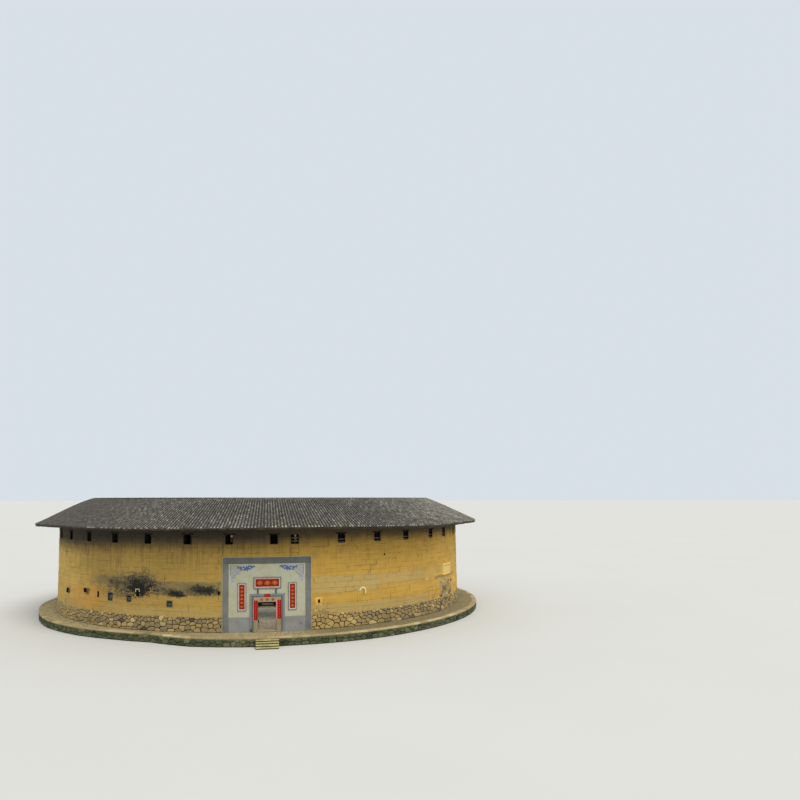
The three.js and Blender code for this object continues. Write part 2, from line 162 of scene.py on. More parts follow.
class Finish:
    """A node material, with short calls for the nodes that the finishes share."""

    def __init__(self, name, roughness, specular=0.25):
        self.material = bpy.data.materials.new(name)
        self.material.use_nodes = True
        self.nodes = self.material.node_tree.nodes
        self.shader = self.nodes["Principled BSDF"]
        self.shader.inputs["Roughness"].default_value = roughness
        self.shader.inputs["Specular IOR Level"].default_value = specular
        position = Value(self, self.nodes.new("ShaderNodeTexCoord").outputs["Object"])
        middle = (0.0, -RING_MIDDLE_Y / SCALE, -PLINTH_H)
        self.place = self.vector("MULTIPLY_ADD", position, (1 / SCALE,) * 3, middle)
        x, y, self.height = self.split(self.place)
        self.angle = self.number("ARCTAN2", x, y * -1.0) * (180 / math.pi)
        self.radius = self.length(x, y)

    def put(self, socket, value):
        if isinstance(value, Value):
            self.material.node_tree.links.new(value.socket, socket)
        else:
            socket.default_value = value

    def filled(self, node, *values):
        """A node's first output, with values or links on its first inputs."""
        for socket, value in zip(node.inputs, values):
            self.put(socket, value)
        return Value(self, node.outputs[0])

    def number(self, operation, *values):
        node = self.nodes.new("ShaderNodeMath")
        node.operation = operation
        return self.filled(node, *values)

    def vector(self, operation, *values):
        node = self.nodes.new("ShaderNodeVectorMath")
        node.operation = operation
        return self.filled(node, *values)

    def length(self, x, y):
        return self.number("SQRT", x * x + y * y)

    def split(self, vector):
        node = self.nodes.new("ShaderNodeSeparateXYZ")
        self.put(node.inputs[0], vector)
        return [Value(self, output) for output in node.outputs]

    def join(self, x, y, z):
        return self.filled(self.nodes.new("ShaderNodeCombineXYZ"), x, y, z)

    def spread(self, node, scale, stretch, place=None):
        """A texture's scale and place, drawn out by a stretch."""
        place = place or self.place
        self.put(node.inputs["Vector"], self.vector("MULTIPLY", place, stretch) if stretch else place)
        self.put(node.inputs["Scale"], scale)

    def noise(self, scale, detail=4.0, stretch=None, place=None, rough=0.55):
        node = self.nodes.new("ShaderNodeTexNoise")
        node.inputs["Detail"].default_value = detail
        node.inputs["Roughness"].default_value = rough
        self.spread(node, scale, stretch, place)
        return Value(self, node.outputs[0])

    def cells(self, scale, stretch, feature="F1", output="Distance"):
        node = self.nodes.new("ShaderNodeTexVoronoi")
        node.feature = feature
        self.spread(node, scale, stretch)
        return Value(self, node.outputs[output])

    def smooth(self, value, start, end):
        """0 at start, 1 at end, smooth between them."""
        node = self.nodes.new("ShaderNodeMapRange")
        node.interpolation_type = "SMOOTHSTEP"
        limits = (start, end, 0.0, 1.0) if start < end else (end, start, 1.0, 0.0)
        return self.filled(node, value, *limits)

    def mix(self, share, first, second):
        node = self.nodes.new("ShaderNodeMix")
        node.data_type = "RGBA"
        for socket, value in ((0, share), (6, first), (7, second)):
            self.put(node.inputs[socket], value)
        return Value(self, node.outputs[2])

    def stained(self, tint, *stains):
        """A colour under stains of (where, strength, colour), each over the ones before it."""
        for where, strength, color in stains:
            tint = self.mix(where * strength, tint, color)
        return tint

    def ramp(self, value, *stops):
        node = self.nodes.new("ShaderNodeValToRGB")
        elements = node.color_ramp.elements
        while len(elements) < len(stops):
            elements.new(1.0)
        for element, (position, color) in zip(elements, stops):
            element.position = position
            element.color = color
        return self.filled(node, value)

    def attribute(self, name):
        node = self.nodes.new("ShaderNodeAttribute")
        node.attribute_name = name
        return Value(self, node.outputs["Fac"])

    def near_line(self, value, half_width):
        """1 where value is close to a whole number."""
        edge = self.number("ABSOLUTE", self.number("FRACT", value) - 0.5)
        return self.smooth(edge, 0.5 - half_width, 0.5)

    def between(self, value, limits, soft):
        """1 between two limits, with soft edges."""
        low, high = limits
        return self.smooth(value, low - soft, low + soft) * self.smooth(value, high + soft, high - soft)

    def patch(self, angles, heights, soft_angle, soft_height, wobble):
        """1 inside a patch of the wall, with soft uneven sides."""
        across = self.between(wobble * (soft_angle * 2) + self.angle, angles, soft_angle)
        return across * self.between(wobble * (soft_height * 2) + self.height, heights, soft_height)

    def smudge(self, middle, reach, wobble):
        """1 in the middle of an oval on the wall, fading unevenly to its edge."""
        across = (self.angle - middle[0]) * (1 / reach[0])
        up = (self.height - middle[1]) * (1 / reach[1])
        return self.smooth(self.length(across, up) + wobble, 1.0, 0.35)

    def leftward(self, start, full):
        """0 at the first angle, 1 at the second, left of the gate, and 0 again at the back."""
        return self.smooth(self.angle, start, full) * self.smooth(self.angle, -177.0, -120.0)

    def around(self, *stops):
        """A colour by the angle round the ring, from stops of (degrees, colour)."""
        turn = self.angle * (1 / 360) + 0.5
        return self.ramp(turn, *(((degrees + 180) / 360, color) for degrees, color in stops))

    def color(self, value):
        self.put(self.shader.inputs["Base Color"], value)
        return self

    def bump(self, value, depth):
        """Relief of a depth in real metres where value goes from 0 to 1."""
        node = self.nodes.new("ShaderNodeBump")
        node.inputs["Strength"].default_value = 1.0
        node.inputs["Distance"].default_value = depth * SCALE
        self.put(node.inputs["Height"], value)
        self.put(self.shader.inputs["Normal"], Value(self, node.outputs[0]))
        return self.material


# Stains of the earth wall. Bands: (colour, strength, angles, heights, soft angle, soft height)
SOOT, GREY, PALE = rgb(29, 30, 29), rgb(102, 98, 77), rgb(176, 156, 104)
WALL_BANDS = [
    (PALE, 0.78, (10.4, 27.0), (3.1, 4.5), 0.8, 0.10),
    (PALE, 0.66, (25.0, 43.0), (3.45, 4.45), 0.8, 0.10),
    (PALE, 0.45, (43.0, 66.0), (3.7, 4.4), 1.5, 0.18),
    (GREY, 0.50, (-46.0, -26.0), (3.7, 4.5), 2.0, 0.22),
    (GREY, 0.80, (-26.5, -10.3), (3.05, 4.2), 0.5, 0.08),
    (GREY, 0.75, (49.5, 63.5), (3.22, 3.5), 1.0, 0.06),
    (rgb(200, 140, 62), 0.55, (-58.0, -42.0), (1.4, 3.3), 3.0, 0.3),
    (rgb(220, 178, 92), 0.85, (10.95, 12.5), (2.0, 2.75), 0.08, 0.03),
    (rgb(214, 206, 178), 0.50, (44.6, 45.6), (3.3, 3.6), 0.3, 0.08),
    (rgb(172, 152, 100), 0.85, (10.4, 46.0), (1.2, 2.05), 2.0, 0.12),
    (rgb(180, 154, 94), 0.75, (-42.0, -10.2), (1.2, 2.0), 2.0, 0.14),
    (rgb(190, 164, 104), 0.45, (-74.0, -50.0), (1.2, 1.9), 2.0, 0.16),
    (GREY, 0.45, (112.0, 150.0), (3.0, 4.4), 4.0, 0.3),
    (GREY, 0.50, (-122.0, -88.0), (3.3, 4.3), 4.0, 0.3),
    (PALE, 0.50, (-168.0, -134.0), (3.0, 4.5), 3.0, 0.2),
]
# Smudges: (colour, strength, (angle, height) of the middle, half sizes)
WALL_SMUDGES = [
    (rgb(94, 89, 68), 0.60, (-34.5, 3.75), (10.5, 1.35)),
    (rgb(78, 77, 66), 0.55, (-29.4, 4.35), (6.4, 1.15)),
    (rgb(70, 68, 58), 0.60, (-31.0, 3.80), (8.4, 1.30)),
    (SOOT, 0.85, (-30.2, 3.62), (7.0, 1.15)),
    (SOOT, 0.95, (-30.0, 3.46), (5.2, 0.85)),
    (rgb(60, 57, 48), 0.45, (-37.6, 3.75), (3.6, 0.5)),
    (rgb(80, 74, 56), 0.50, (-36.0, 2.9), (3.4, 0.55)),
    (rgb(66, 62, 52), 0.65, (-21.4, 3.3), (4.6, 0.55)),
    (SOOT, 0.95, (-20.8, 3.26), (3.0, 0.36)),
    (SOOT, 0.95, (-19.7, 3.08), (2.8, 0.30)),
    (rgb(66, 62, 52), 0.65, (-15.4, 3.5), (5.2, 0.65)),
    (SOOT, 0.75, (-15.4, 3.62), (2.6, 0.44)),
    (SOOT, 0.95, (-13.3, 3.44), (2.9, 0.62)),
    (rgb(58, 53, 42), 0.85, (-47.9, 2.9), (1.7, 0.42)),
    (rgb(58, 53, 42), 0.80, (-58.3, 2.62), (1.9, 0.42)),
    (rgb(70, 68, 56), 0.95, (-38.9, 3.94), (0.95, 0.36)),
    (rgb(112, 92, 54), 0.45, (57.0, 2.2), (6.5, 1.5)),
    (rgb(96, 80, 50), 0.40, (88.0, 3.1), (14.0, 1.3)),
    (SOOT, 0.45, (136.0, 3.3), (7.0, 0.8)),
    (SOOT, 0.55, (-104.0, 3.2), (6.0, 0.7)),
]
# Blocks of earth in one lift, bays between cracks in one turn, and a bay's height
BLOCKS_AROUND, BAYS_AROUND, BAY_H = 112, 74, 1.35
# Each lift or bay starts this share of a block further round than the one below
BOND_SHIFT = 0.618


def rammed_earth():
    """Ochre lifts with their joints, rain runs, soot and painted shade under the eaves, and stains."""
    f = Finish("rammed_earth", 0.95)
    middle = f.noise(1.3, 5.0)
    fine = f.noise(9.0, 6.0, rough=0.7)
    left = f.leftward(12.0, -8.0)
    # The ochre round the ring is partly painted light: much lighter towards the far left and far right,
    # standing in for side light, over the wall's own weathered tone.
    tint = f.around(
        (-150, rgb(190, 153, 75)), (-80, rgb(244, 203, 112)), (-62, rgb(234, 194, 104)),
        (-44, rgb(188, 154, 80)), (-24, rgb(174, 143, 72)), (-8, rgb(178, 144, 70)),
        (10, rgb(192, 152, 67)), (40, rgb(196, 154, 68)), (60, rgb(226, 180, 84)),
        (95, rgb(206, 164, 78)), (170, rgb(190, 153, 75)),
    )
    wobble = middle - 0.5
    level = wobble * 0.05 + f.height
    lifts = (level - FOOTING_H) / LIFT
    lift = f.number("FLOOR", lifts)
    blocks = f.angle * (BLOCKS_AROUND / 360) + wobble + f.number("FRACT", lift * BOND_SHIFT)
    worn = f.smooth(f.noise(0.9, 3.0), 0.42, 0.60)
    lines = f.near_line(lifts, 0.06) * worn
    joints = f.near_line(blocks, 0.022) * worn
    bed = f.noise(1.0, 2.0, place=f.join(lift, f.number("FLOOR", blocks), 0.0))
    layers = f.noise(1.0, 3.0, stretch=(0.3, 0.3, 8.0))
    bay = f.number("FLOOR", level * (1 / BAY_H))
    split = f.angle * (BAYS_AROUND / 360) + wobble * 0.10 + f.number("FRACT", bay * BOND_SHIFT)
    cracks = f.near_line(split, 0.018) * f.smooth(f.noise(0.8, 4.0), 0.52, 0.60)
    runs = f.noise(2.4, 4.0, stretch=(1.0, 1.0, 0.045), rough=0.6)
    threads = f.noise(7.0, 3.0, stretch=(1.0, 1.0, 0.03), rough=0.6)
    falling = f.smooth(f.height, 3.2, 7.6) * (left * 0.55 + 0.45)
    tint = f.stained(
        tint,
        (f.smooth(f.noise(0.22, 5.0), 0.35, 0.65), 0.35, rgb(150, 120, 58)),
        (f.smooth(middle, 0.45, 0.75), 0.35, rgb(146, 114, 54)),
        (f.smooth(fine, 0.55, 0.80), 0.55, rgb(124, 96, 48)),
        (lines, 0.17, rgb(96, 74, 40)),
        (joints, 0.36, rgb(88, 68, 36)),
        (f.smooth(bed, 0.3, 0.7), 0.16, rgb(206, 168, 92)),
        (f.smooth(layers, 0.45, 0.75), 0.30, rgb(132, 102, 52)),
        (cracks, 0.75, rgb(66, 50, 28)),
        (f.smooth(runs, 0.50, 0.75) * falling, 0.55, rgb(92, 76, 44)),
        (f.smooth(threads, 0.52, 0.70) * falling, 0.45, rgb(74, 60, 36)),
        (f.smooth(f.height, 2.4, 1.2) * f.smooth(middle, 0.35, 0.6), 0.30, rgb(134, 110, 66)),
    )
    streaky = f.smooth(f.noise(1.8, 6.0, stretch=(0.6, 0.6, 3.2), rough=0.7), 0.30, 0.62)
    ragged = (f.noise(2.6, 7.0, rough=0.8) - 0.5) * 3.0
    for stain, strength, *patch in WALL_BANDS:
        tint = f.stained(tint, (f.patch(*patch, ragged) * (streaky * 0.65 + 0.35), strength, stain))
    smoky = (streaky - 0.5) * 0.34 + (f.noise(1.5, 8.0, rough=0.7) - 0.5) * 1.35
    smoky = (f.noise(6.0, 4.0, rough=0.7) - 0.5) * 1.1 + smoky
    for stain, strength, *smudge in WALL_SMUDGES:
        tint = f.stained(tint, (f.smudge(*smudge, smoky), strength, stain))
    # Soot and painted shade under the eaves: the top of the wall darkens to near black, reaching lower left
    # of the gate and lower still on the far left.
    soot_and_eave_shade = wobble * 0.5 + (f.height - 6.95)
    soot_and_eave_shade = f.leftward(-12.0, -62.0) * 0.52 + (left * 0.60 + soot_and_eave_shade)
    soot_and_eave_shade = f.smooth(soot_and_eave_shade / (left * 0.45 + 1.30), 0.0, 1.0)
    tint = f.mix(soot_and_eave_shade * (left * 0.08 + 0.86), tint, rgb(50, 50, 47))
    seams = f.number("MAXIMUM", f.number("MAXIMUM", lines, joints), cracks)
    relief = fine * 0.8 + f.cells(16.0, (1.0, 1.0, 1.3)) * 0.25 - seams * 0.55
    return f.color(tint).bump(relief, 0.05)


def stone(name, *tones, moss=None, moss_share=0.0, earth_wash_and_light=None):
    """Field stones: a tone for each stone, with veins, specks and lichen, earth-washed and painted lighter on
    the far left.
    """
    f = Finish(name, 0.9)
    grain = f.noise(6.0, 6.0, rough=0.7)
    tone = (grain - 0.5) * 0.45 + f.attribute("tone")
    tint = f.ramp(tone, *((k / (len(tones) - 1), color) for k, color in enumerate(tones)))
    # Far left of the gate: an earth wash, partly painted light that lightens the stones there.
    if earth_wash_and_light:
        beside = f.smooth(f.angle, 9.0, 11.0) * f.smooth(f.angle, 30.0, 15.0)
        tint = f.stained(
            tint, (f.leftward(-36.0, -62.0), 0.45, earth_wash_and_light), (beside, 0.42, rgb(198, 164, 92)))
    tint = f.stained(tint, (f.smooth(f.noise(22.0, 3.0), 0.55, 0.72), 0.4, tones[0]))
    if moss:
        growth = f.smooth(f.noise(1.6, 5.0, rough=0.65), 0.62 - moss_share / 2, 0.80 - moss_share / 2)
        tint = f.stained(tint, (growth, 0.7, moss))
    return f.color(tint).bump(grain, 0.05)


def mortar(name, dark, light):
    f = Finish(name, 0.95)
    grain = f.noise(5.0, 6.0, rough=0.7)
    return f.color(f.mix(f.smooth(grain, 0.3, 0.7), dark, light)).bump(grain, 0.04)


def paving():
    """Trodden earth on top of the plinth, cobbles in the courtyard, dark earth at the sides."""
    f = Finish("paving", 0.95)
    grain = f.noise(3.0, 6.0, rough=0.65)
    flat = (1.0, 1.0, 0.2)
    patch, pebble = (f.split(f.cells(scale, flat, output="Color"))[0] for scale in (3.4, 3.2))
    gaps = f.smooth(f.cells(3.4, flat, "DISTANCE_TO_EDGE"), 0.09, 0.01)
    beds = f.smooth(f.cells(3.2, flat, "DISTANCE_TO_EDGE"), 0.07, 0.01)
    trodden = f.around(
        (-180, rgb(176, 158, 116)), (-80, rgb(222, 204, 152)), (-50, rgb(208, 190, 140)),
        (-25, rgb(176, 158, 114)), (-6, rgb(192, 176, 132)), (6, rgb(186, 170, 128)),
        (14, rgb(122, 114, 81)), (60, rgb(142, 131, 94)), (180, rgb(176, 158, 116)),
    )
    indoors = f.smooth(f.radius, 21.6, 21.4) * f.smooth(f.radius, 16.4, 16.6)
    ground = f.stained(
        trodden,
        (f.smooth(grain, 0.35, 0.75), 1.0, rgb(146, 128, 90)),
        (patch, 0.30, rgb(138, 128, 100)),
        (indoors, 1.0, f.mix(f.smooth(grain, 0.35, 0.7), rgb(176, 166, 146), rgb(146, 134, 112))),
        (gaps, 0.65, rgb(92, 80, 56)),
    )
    cobbles = f.stained(
        f.mix(grain * 0.5 + pebble * 0.5, rgb(150, 146, 126), rgb(208, 201, 178)),
        (f.smooth(f.noise(0.30, 4.0), 0.45, 0.68), 0.45, rgb(132, 130, 104)),
        (beds, 0.6, rgb(98, 94, 74)),
    )
    yard = f.smooth(f.radius, 16.75, 16.45)
    side = f.mix(grain, rgb(40, 40, 32), rgb(66, 64, 48))
    tint = f.mix(f.smooth(f.height, -0.26, -0.20), side, f.mix(yard, ground, cobbles))
    return f.color(tint).bump(grain - f.mix(yard, gaps, beds) * 0.7, 0.04)


def roof_tile():
    """Grey clay tiles: worn crowns, pans darkened by damp and painted shade, flecks of lichen."""
    f = Finish("roof_tile", 0.85)
    tone = f.attribute("tone")
    grain = f.noise(7.0, 5.0, rough=0.7)
    crowns = f.ramp(tone, (0.0, rgb(84, 81, 75)), (0.55, rgb(122, 118, 109)), (1.0, rgb(170, 164, 150)))
    # The pans between the cover tiles are darker than the crowns: damp and dirt, with painted shade.
    pans_damp_and_shaded = f.ramp(tone, (0.0, rgb(48, 46, 42)), (1.0, rgb(76, 73, 66)))
    damp = f.smooth(f.noise(0.35, 5.0), 0.40, 0.66) * 0.35
    tint = f.stained(
        f.mix(f.smooth(f.attribute("crown"), 0.15, 0.85), pans_damp_and_shaded, crowns),
        (f.smooth(grain, 0.45, 0.75), 0.45, rgb(70, 67, 61)),
        # Damp patches, and the slope darker left of the gate.
        (f.number("MAXIMUM", damp, f.leftward(-14.0, -52.0) * 0.76), 1.0, rgb(66, 63, 58)),
        (f.smooth(f.noise(1.1, 6.0, rough=0.7), 0.60, 0.74), 0.30, rgb(76, 74, 54)),
        (f.smooth(f.noise(9.0, 2.0), 0.68, 0.76), 0.55, rgb(176, 170, 156)),
    )
    return f.color(tint).bump(grain, 0.02)


def roof_mortar():
    """Lime pointing at the eaves and on the ridge, paler where the tone is high; low tones are painted shade
    in the hollow tile mouths and on the edge under the first course.
    """
    f = Finish("roof_mortar", 0.9)
    grain = f.noise(9.0, 5.0, rough=0.7)
    stops = (0.0, rgb(24, 23, 21)), (0.5, rgb(94, 88, 76)), (1.0, rgb(206, 198, 176))
    tint = f.ramp(f.attribute("tone"), *stops)
    tint = f.stained(tint, (f.smooth(grain, 0.4, 0.7), 0.45, rgb(82, 78, 70)))
    return f.color(tint).bump(grain, 0.02)


def timber(name, dark, light, boards=0.0):
    """Weathered wood; boards is how many stand in one metre, or 0 for beams."""
    f = Finish(name, 0.8)
    grain = f.noise(5.0, 6.0, stretch=(3.0, 3.0, 0.35), rough=0.65)
    tint = f.mix(f.smooth(grain, 0.3, 0.7), dark, light)
    tint = f.stained(tint, (f.smooth(f.noise(0.8, 4.0), 0.45, 0.7), 0.35, rgb(122, 112, 98)))
    relief = grain
    if boards:
        along = f.angle * (boards * math.radians(ROOM_FRONT_R))
        gaps = f.near_line(along, 0.06)
        shade = f.noise(1.0, 1.0, place=f.join(f.number("FLOOR", along), 0.0, 0.0))
        tint = f.stained(tint, (f.smooth(shade, 0.3, 0.7), 0.4, dark), (gaps, 0.85, rgb(18, 14, 10)))
        relief = grain - gaps
    return f.color(tint).bump(relief, 0.02)


def plaster(name, base, worn, share=0.5, streak=0.0):
    """Lime plaster with faint clouds, trowel marks and rain streaks."""
    f = Finish(name, 0.85)
    clouds = f.noise(1.4, 5.0, rough=0.6)
    fine = f.noise(14.0, 4.0, rough=0.7)
    tint = f.mix(f.smooth(clouds, 0.35, 0.70) * share, base, worn)
    tint = f.stained(tint, (f.smooth(fine, 0.5, 0.8), 0.25, worn))
    if streak:
        runs = f.smooth(f.noise(4.0, 4.0, stretch=(1.0, 1.0, 0.08)), 0.5, 0.75)
        tint = f.stained(tint, (runs, streak, worn))
    return f.color(tint).bump(clouds * 0.5 + fine, 0.012)


def painted(name, base, worn, roughness=0.7):
    """Paint on board or paper, faded in places."""
    f = Finish(name, roughness, specular=0.2)
    fine = f.noise(30.0, 3.0)
    tint = f.mix(f.smooth(f.noise(4.0, 5.0, rough=0.65), 0.40, 0.75) * 0.6, base, worn)
    tint = f.stained(tint, (f.smooth(fine, 0.6, 0.8), 0.3, worn))
    return f.color(tint).bump(fine, 0.004)


EARTH = rammed_earth()
FOOTING_STONE = stone(
    "footing_stone", rgb(88, 78, 56), rgb(132, 122, 96), rgb(152, 130, 86), rgb(176, 152, 100),
    rgb(200, 176, 124), earth_wash_and_light=rgb(214, 186, 124),
)
BARE_STONE = stone("bare_stone", rgb(52, 52, 46), rgb(112, 110, 96), rgb(150, 142, 116), rgb(204, 196, 166))
FOOTING_BED = mortar("footing_bed", rgb(24, 20, 14), rgb(58, 47, 30))
PLINTH_STONE = stone(
    "plinth_stone", rgb(38, 41, 30), rgb(74, 78, 56), rgb(95, 95, 69), rgb(127, 124, 93),
    moss=rgb(66, 79, 39), moss_share=0.34,
)
PAVING = paving()
SLAB = stone("slab_stone", rgb(122, 108, 76), rgb(168, 150, 108), rgb(204, 188, 144))
STEP = stone("step_stone", rgb(66, 60, 32), rgb(132, 122, 76), rgb(194, 184, 132))
TILE = roof_tile()
ROOF_MORTAR = roof_mortar()
# Painted shade: the dark of the wall's holes and pockets, also given to the window boards and the transom
# boarding.
HOLE_SHADE = mortar("hole_shade", rgb(26, 24, 21), rgb(46, 41, 33))
DARK_TIMBER = timber("dark_timber", rgb(34, 28, 22), rgb(66, 56, 44))
WINDOW_TIMBER = timber("window_timber", rgb(82, 78, 68), rgb(132, 124, 108))
FRAME_TIMBER = timber("frame_timber", rgb(112, 94, 70), rgb(164, 140, 108))
BOARDS = timber("room_boards", rgb(118, 98, 70), rgb(176, 150, 112), boards=5.0)
BORDER_TOP = plaster("border_top_plaster", rgb(100, 102, 98), rgb(84, 86, 82), 0.6, 0.3)
BORDER_SIDE = plaster("border_side_plaster", rgb(118, 118, 114), rgb(97, 98, 94), 0.6, 0.4)
DADO = plaster("dado_plaster", rgb(140, 140, 137), rgb(118, 117, 113), 0.6, 0.4)
SURROUND = plaster("surround_plaster", rgb(104, 108, 106), rgb(88, 92, 90), 0.5, 0.2)
SURROUND_EDGE = plaster("surround_edge", rgb(126, 129, 126), rgb(108, 110, 106))
FIELD = plaster("field_plaster", rgb(176, 175, 152), rgb(160, 158, 130), 0.6, 0.35)
FIELD_LIP = plaster("field_lip", rgb(186, 180, 132), rgb(160, 154, 110), 0.6)
PLAQUE_FRAME = plaster("plaque_frame", rgb(122, 124, 120), rgb(98, 100, 96))
WHITE_LINE = plaster("white_line", rgb(190, 188, 180), rgb(160, 158, 150))
CORNER_LINE = plaster("corner_line", rgb(98, 101, 99), rgb(80, 83, 82))
CORNER_WASH = plaster("corner_wash", rgb(172, 172, 164), rgb(152, 153, 146), 0.7)
PINK = plaster("pink_line", rgb(206, 136, 122), rgb(184, 116, 102))
FRET = plaster("fret_grey", rgb(128, 130, 128), rgb(106, 108, 108), 0.6)
BLUE = painted("blossom_blue", rgb(72, 101, 162), rgb(104, 126, 172))
NAVY = painted("blossom_navy", rgb(62, 68, 92), rgb(86, 92, 108))
YELLOW = painted("blossom_yellow", rgb(206, 192, 76), rgb(184, 172, 92))
BOARD_RED = painted("board_red", rgb(132, 24, 7), rgb(96, 15, 5), 0.45)
PAPER_RED = painted("paper_red", rgb(154, 14, 6), rgb(122, 8, 5))
GOLD = painted("gold_paint", rgb(198, 112, 44), rgb(156, 78, 26), 0.4)
GATE_STONE = stone("gate_stone", rgb(106, 94, 68), rgb(145, 132, 104), rgb(178, 162, 128))
COUPLET_MARK = painted("couplet_mark", rgb(196, 64, 30), rgb(168, 34, 18))
TRANSOM_RAIL = timber("transom_rail", rgb(104, 98, 82), rgb(146, 138, 118))
MEDALLION = painted("medallion_brown", rgb(158, 88, 52), rgb(122, 70, 44), 0.8)
STUB = plaster("stub_grey", rgb(78, 84, 84), rgb(60, 64, 64))


# Mesh making
def add_object(name, data):
    thing = bpy.data.objects.new(name, data)
    bpy.context.scene.collection.objects.link(thing)
    return thing


def add_piece(name, mesh, replaced):
    """A piece that rides on the part's one body and stands for some of its nodes, or for none."""
    piece = add_object(name, mesh)
    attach(piece, "root")
    if replaced:
        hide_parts(*replaced)


def new_piece(name, points, faces, materials, tones=(), crowns=(), parts=(), replaced=()):
    """A closed piece from real metres.

    tones and parts are each face's tone and the number of its material, crowns each point's share of a
    cover tile's crown.
    """
    mesh = bpy.data.meshes.new(name)
    mesh.from_pydata(to_model(points).tolist(), [], faces)
    for key, domain, values in (("tone", "FACE", tones), ("crown", "POINT", crowns)):
        if len(values):
            layer = mesh.attributes.new(key, "FLOAT", domain)
            layer.data.foreach_set("value", np.asarray(values, np.float32))
    for material in materials:
        mesh.materials.append(material)
    if parts:
        mesh.polygons.foreach_set("material_index", parts)
    mesh.update()
    turned = bmesh.new()
    turned.from_mesh(mesh)
    bmesh.ops.recalc_face_normals(turned, faces=turned.faces)
    turned.to_mesh(mesh)
    turned.free()
    add_piece(name, mesh, replaced)


class Shapes:
    """Many small closed shapes gathered for one object, each with a tone."""

    BOX_FACES = [(0, 3, 2, 1), (4, 5, 6, 7), (0, 1, 5, 4), (1, 2, 6, 5), (2, 3, 7, 6), (3, 0, 4, 7)]

    def __init__(self):
        self.points, self.faces, self.tones = [], [], []

    def add(self, points, faces, tone=0.5):
        first = len(self.points)
        self.points.extend(map(tuple, points))
        self.faces.extend([tuple(first + i for i in face) for face in faces])
        self.tones.extend([tone] * len(faces))

    def layers(self, rings, tone=0.5):
        """Outlines of equal length, from back to front, joined and closed at both ends."""
        count = len(rings[0])
        faces = [tuple(reversed(range(count)))]
        for low in range(0, (len(rings) - 1) * count, count):
            for i in range(count):
                j = (i + 1) % count
                faces.append((low + i, low + j, low + count + j, low + count + i))
        faces.append(tuple((len(rings) - 1) * count + i for i in range(count)))
        self.add([point for ring in rings for point in ring], faces, tone)

    def beam(self, angle, width, radii, lows, depth):
        """A beam along a radius, between two radii, with its underside's height at each."""
        corners = []
        for radius, low in zip(radii, lows):
            for side, rise in ((-1, 0), (1, 0), (1, depth), (-1, depth)):
                spread = math.degrees(math.atan2(side * width / 2, radius))
                corners.append(on_ring(angle + spread, math.hypot(radius, width / 2), low + rise))
        self.add(corners, self.BOX_FACES)

    def block(self, angles, radii, heights, tone=0.5):
        """A box between two angles, radii and heights."""
        (a, b), (near, far) = angles, radii
        plan = ((a, near), (b, near), (b, far), (a, far))
        self.add([on_ring(angle, r, h) for h in heights for angle, r in plan], self.BOX_FACES, tone)

    def square_block(self, left, right, front, back, low, high, bevel, tone=0.5):
        """A bevelled block square to the gate, by real x and distance in front of the middle."""
        rings = []
        for radius, width in ((back, 0.0), (front - bevel, 0.0), (front, bevel)):
            box = shrunk((left, right, low, high), width)
            rings.append([(x, -radius, h) for x, h in rectangle(*box)])
        self.layers(rings, tone)

    def facing(self, outline, x, h, radii):
        """A plate square to the gate, by its outline, its middle and two distances from the ring's."""
        self.layers([[(x + s, -radius, h + z) for s, z in outline] for radius in radii])

    def piece(self, name, material, slot, *replaced, crown=None):
        crowns = () if crown is None else [crown] * len(self.points)
        new_piece(name, self.points, self.faces, [material], self.tones, crowns, replaced=replaced)


def rectangle(left, right, low, high):
    return [(left, low), (right, low), (right, high), (left, high)]


def shrunk(box, width):
    """A box (left, right, low, high) moved in by a width on each side."""
    left, right, low, high = box
    return left + width, right - width, low + width, high - width


def oval(middle, across, up, turn=0.0, count=10):
    """An ellipse by its middle and half sizes, turned by degrees."""
    t = math.radians(turn)
    points = []
    for k in range(count):
        a = 2 * math.pi * k / count
        x, y = across * math.cos(a), up * math.sin(a)
        points.append((middle[0] + x * math.cos(t) - y * math.sin(t),
                       middle[1] + x * math.sin(t) + y * math.cos(t)))
    return points


# Earth wall. Pockets and put-log holes: (angle, height of the middle, width, height)
POCKETS = [
    (-59.4, 2.61, 0.60, 0.45), (-49.0, 2.94, 0.46, 0.40), (-43.4, 2.74, 0.26, 0.54),
    (-38.9, 2.66, 0.46, 0.58), (-33.0, 2.62, 0.38, 0.44), (-30.6, 3.13, 0.32, 0.58),
    (-22.2, 2.33, 0.38, 0.40), (-10.75, 3.29, 0.19, 0.32), (11.75, 2.40, 0.20, 0.30),
    (29.3, 6.14, 0.17, 0.15), (34.2, 6.2, 0.08, 0.08), (71.0, 2.70, 0.26, 0.40),
    (112.0, 2.60, 0.26, 0.42), (158.0, 2.80, 0.26, 0.40), (-84.0, 2.70, 0.26, 0.42),
    (-128.0, 2.60, 0.26, 0.40),
]
PLUGGED_POCKETS = (-38.9, -33.0, -22.2)
PALE_RIMMED_POCKET = -30.6
POCKET_DEPTH = 0.42
# The shell's column width in degrees, the ledge between lifts, and how far it reaches into the roof
WALL_COLUMN, LIFT_LEDGE, WALL_INTO_ROOF = 1.25, 0.03, 0.11


def spaced_lines(regular, features, clear):
    """Feature lines, and the regular ones that keep clear of them."""
    kept = [line for line in regular if min(abs(line - f) for f in features) > clear]
    return np.array(sorted(set(kept) | set(features)))


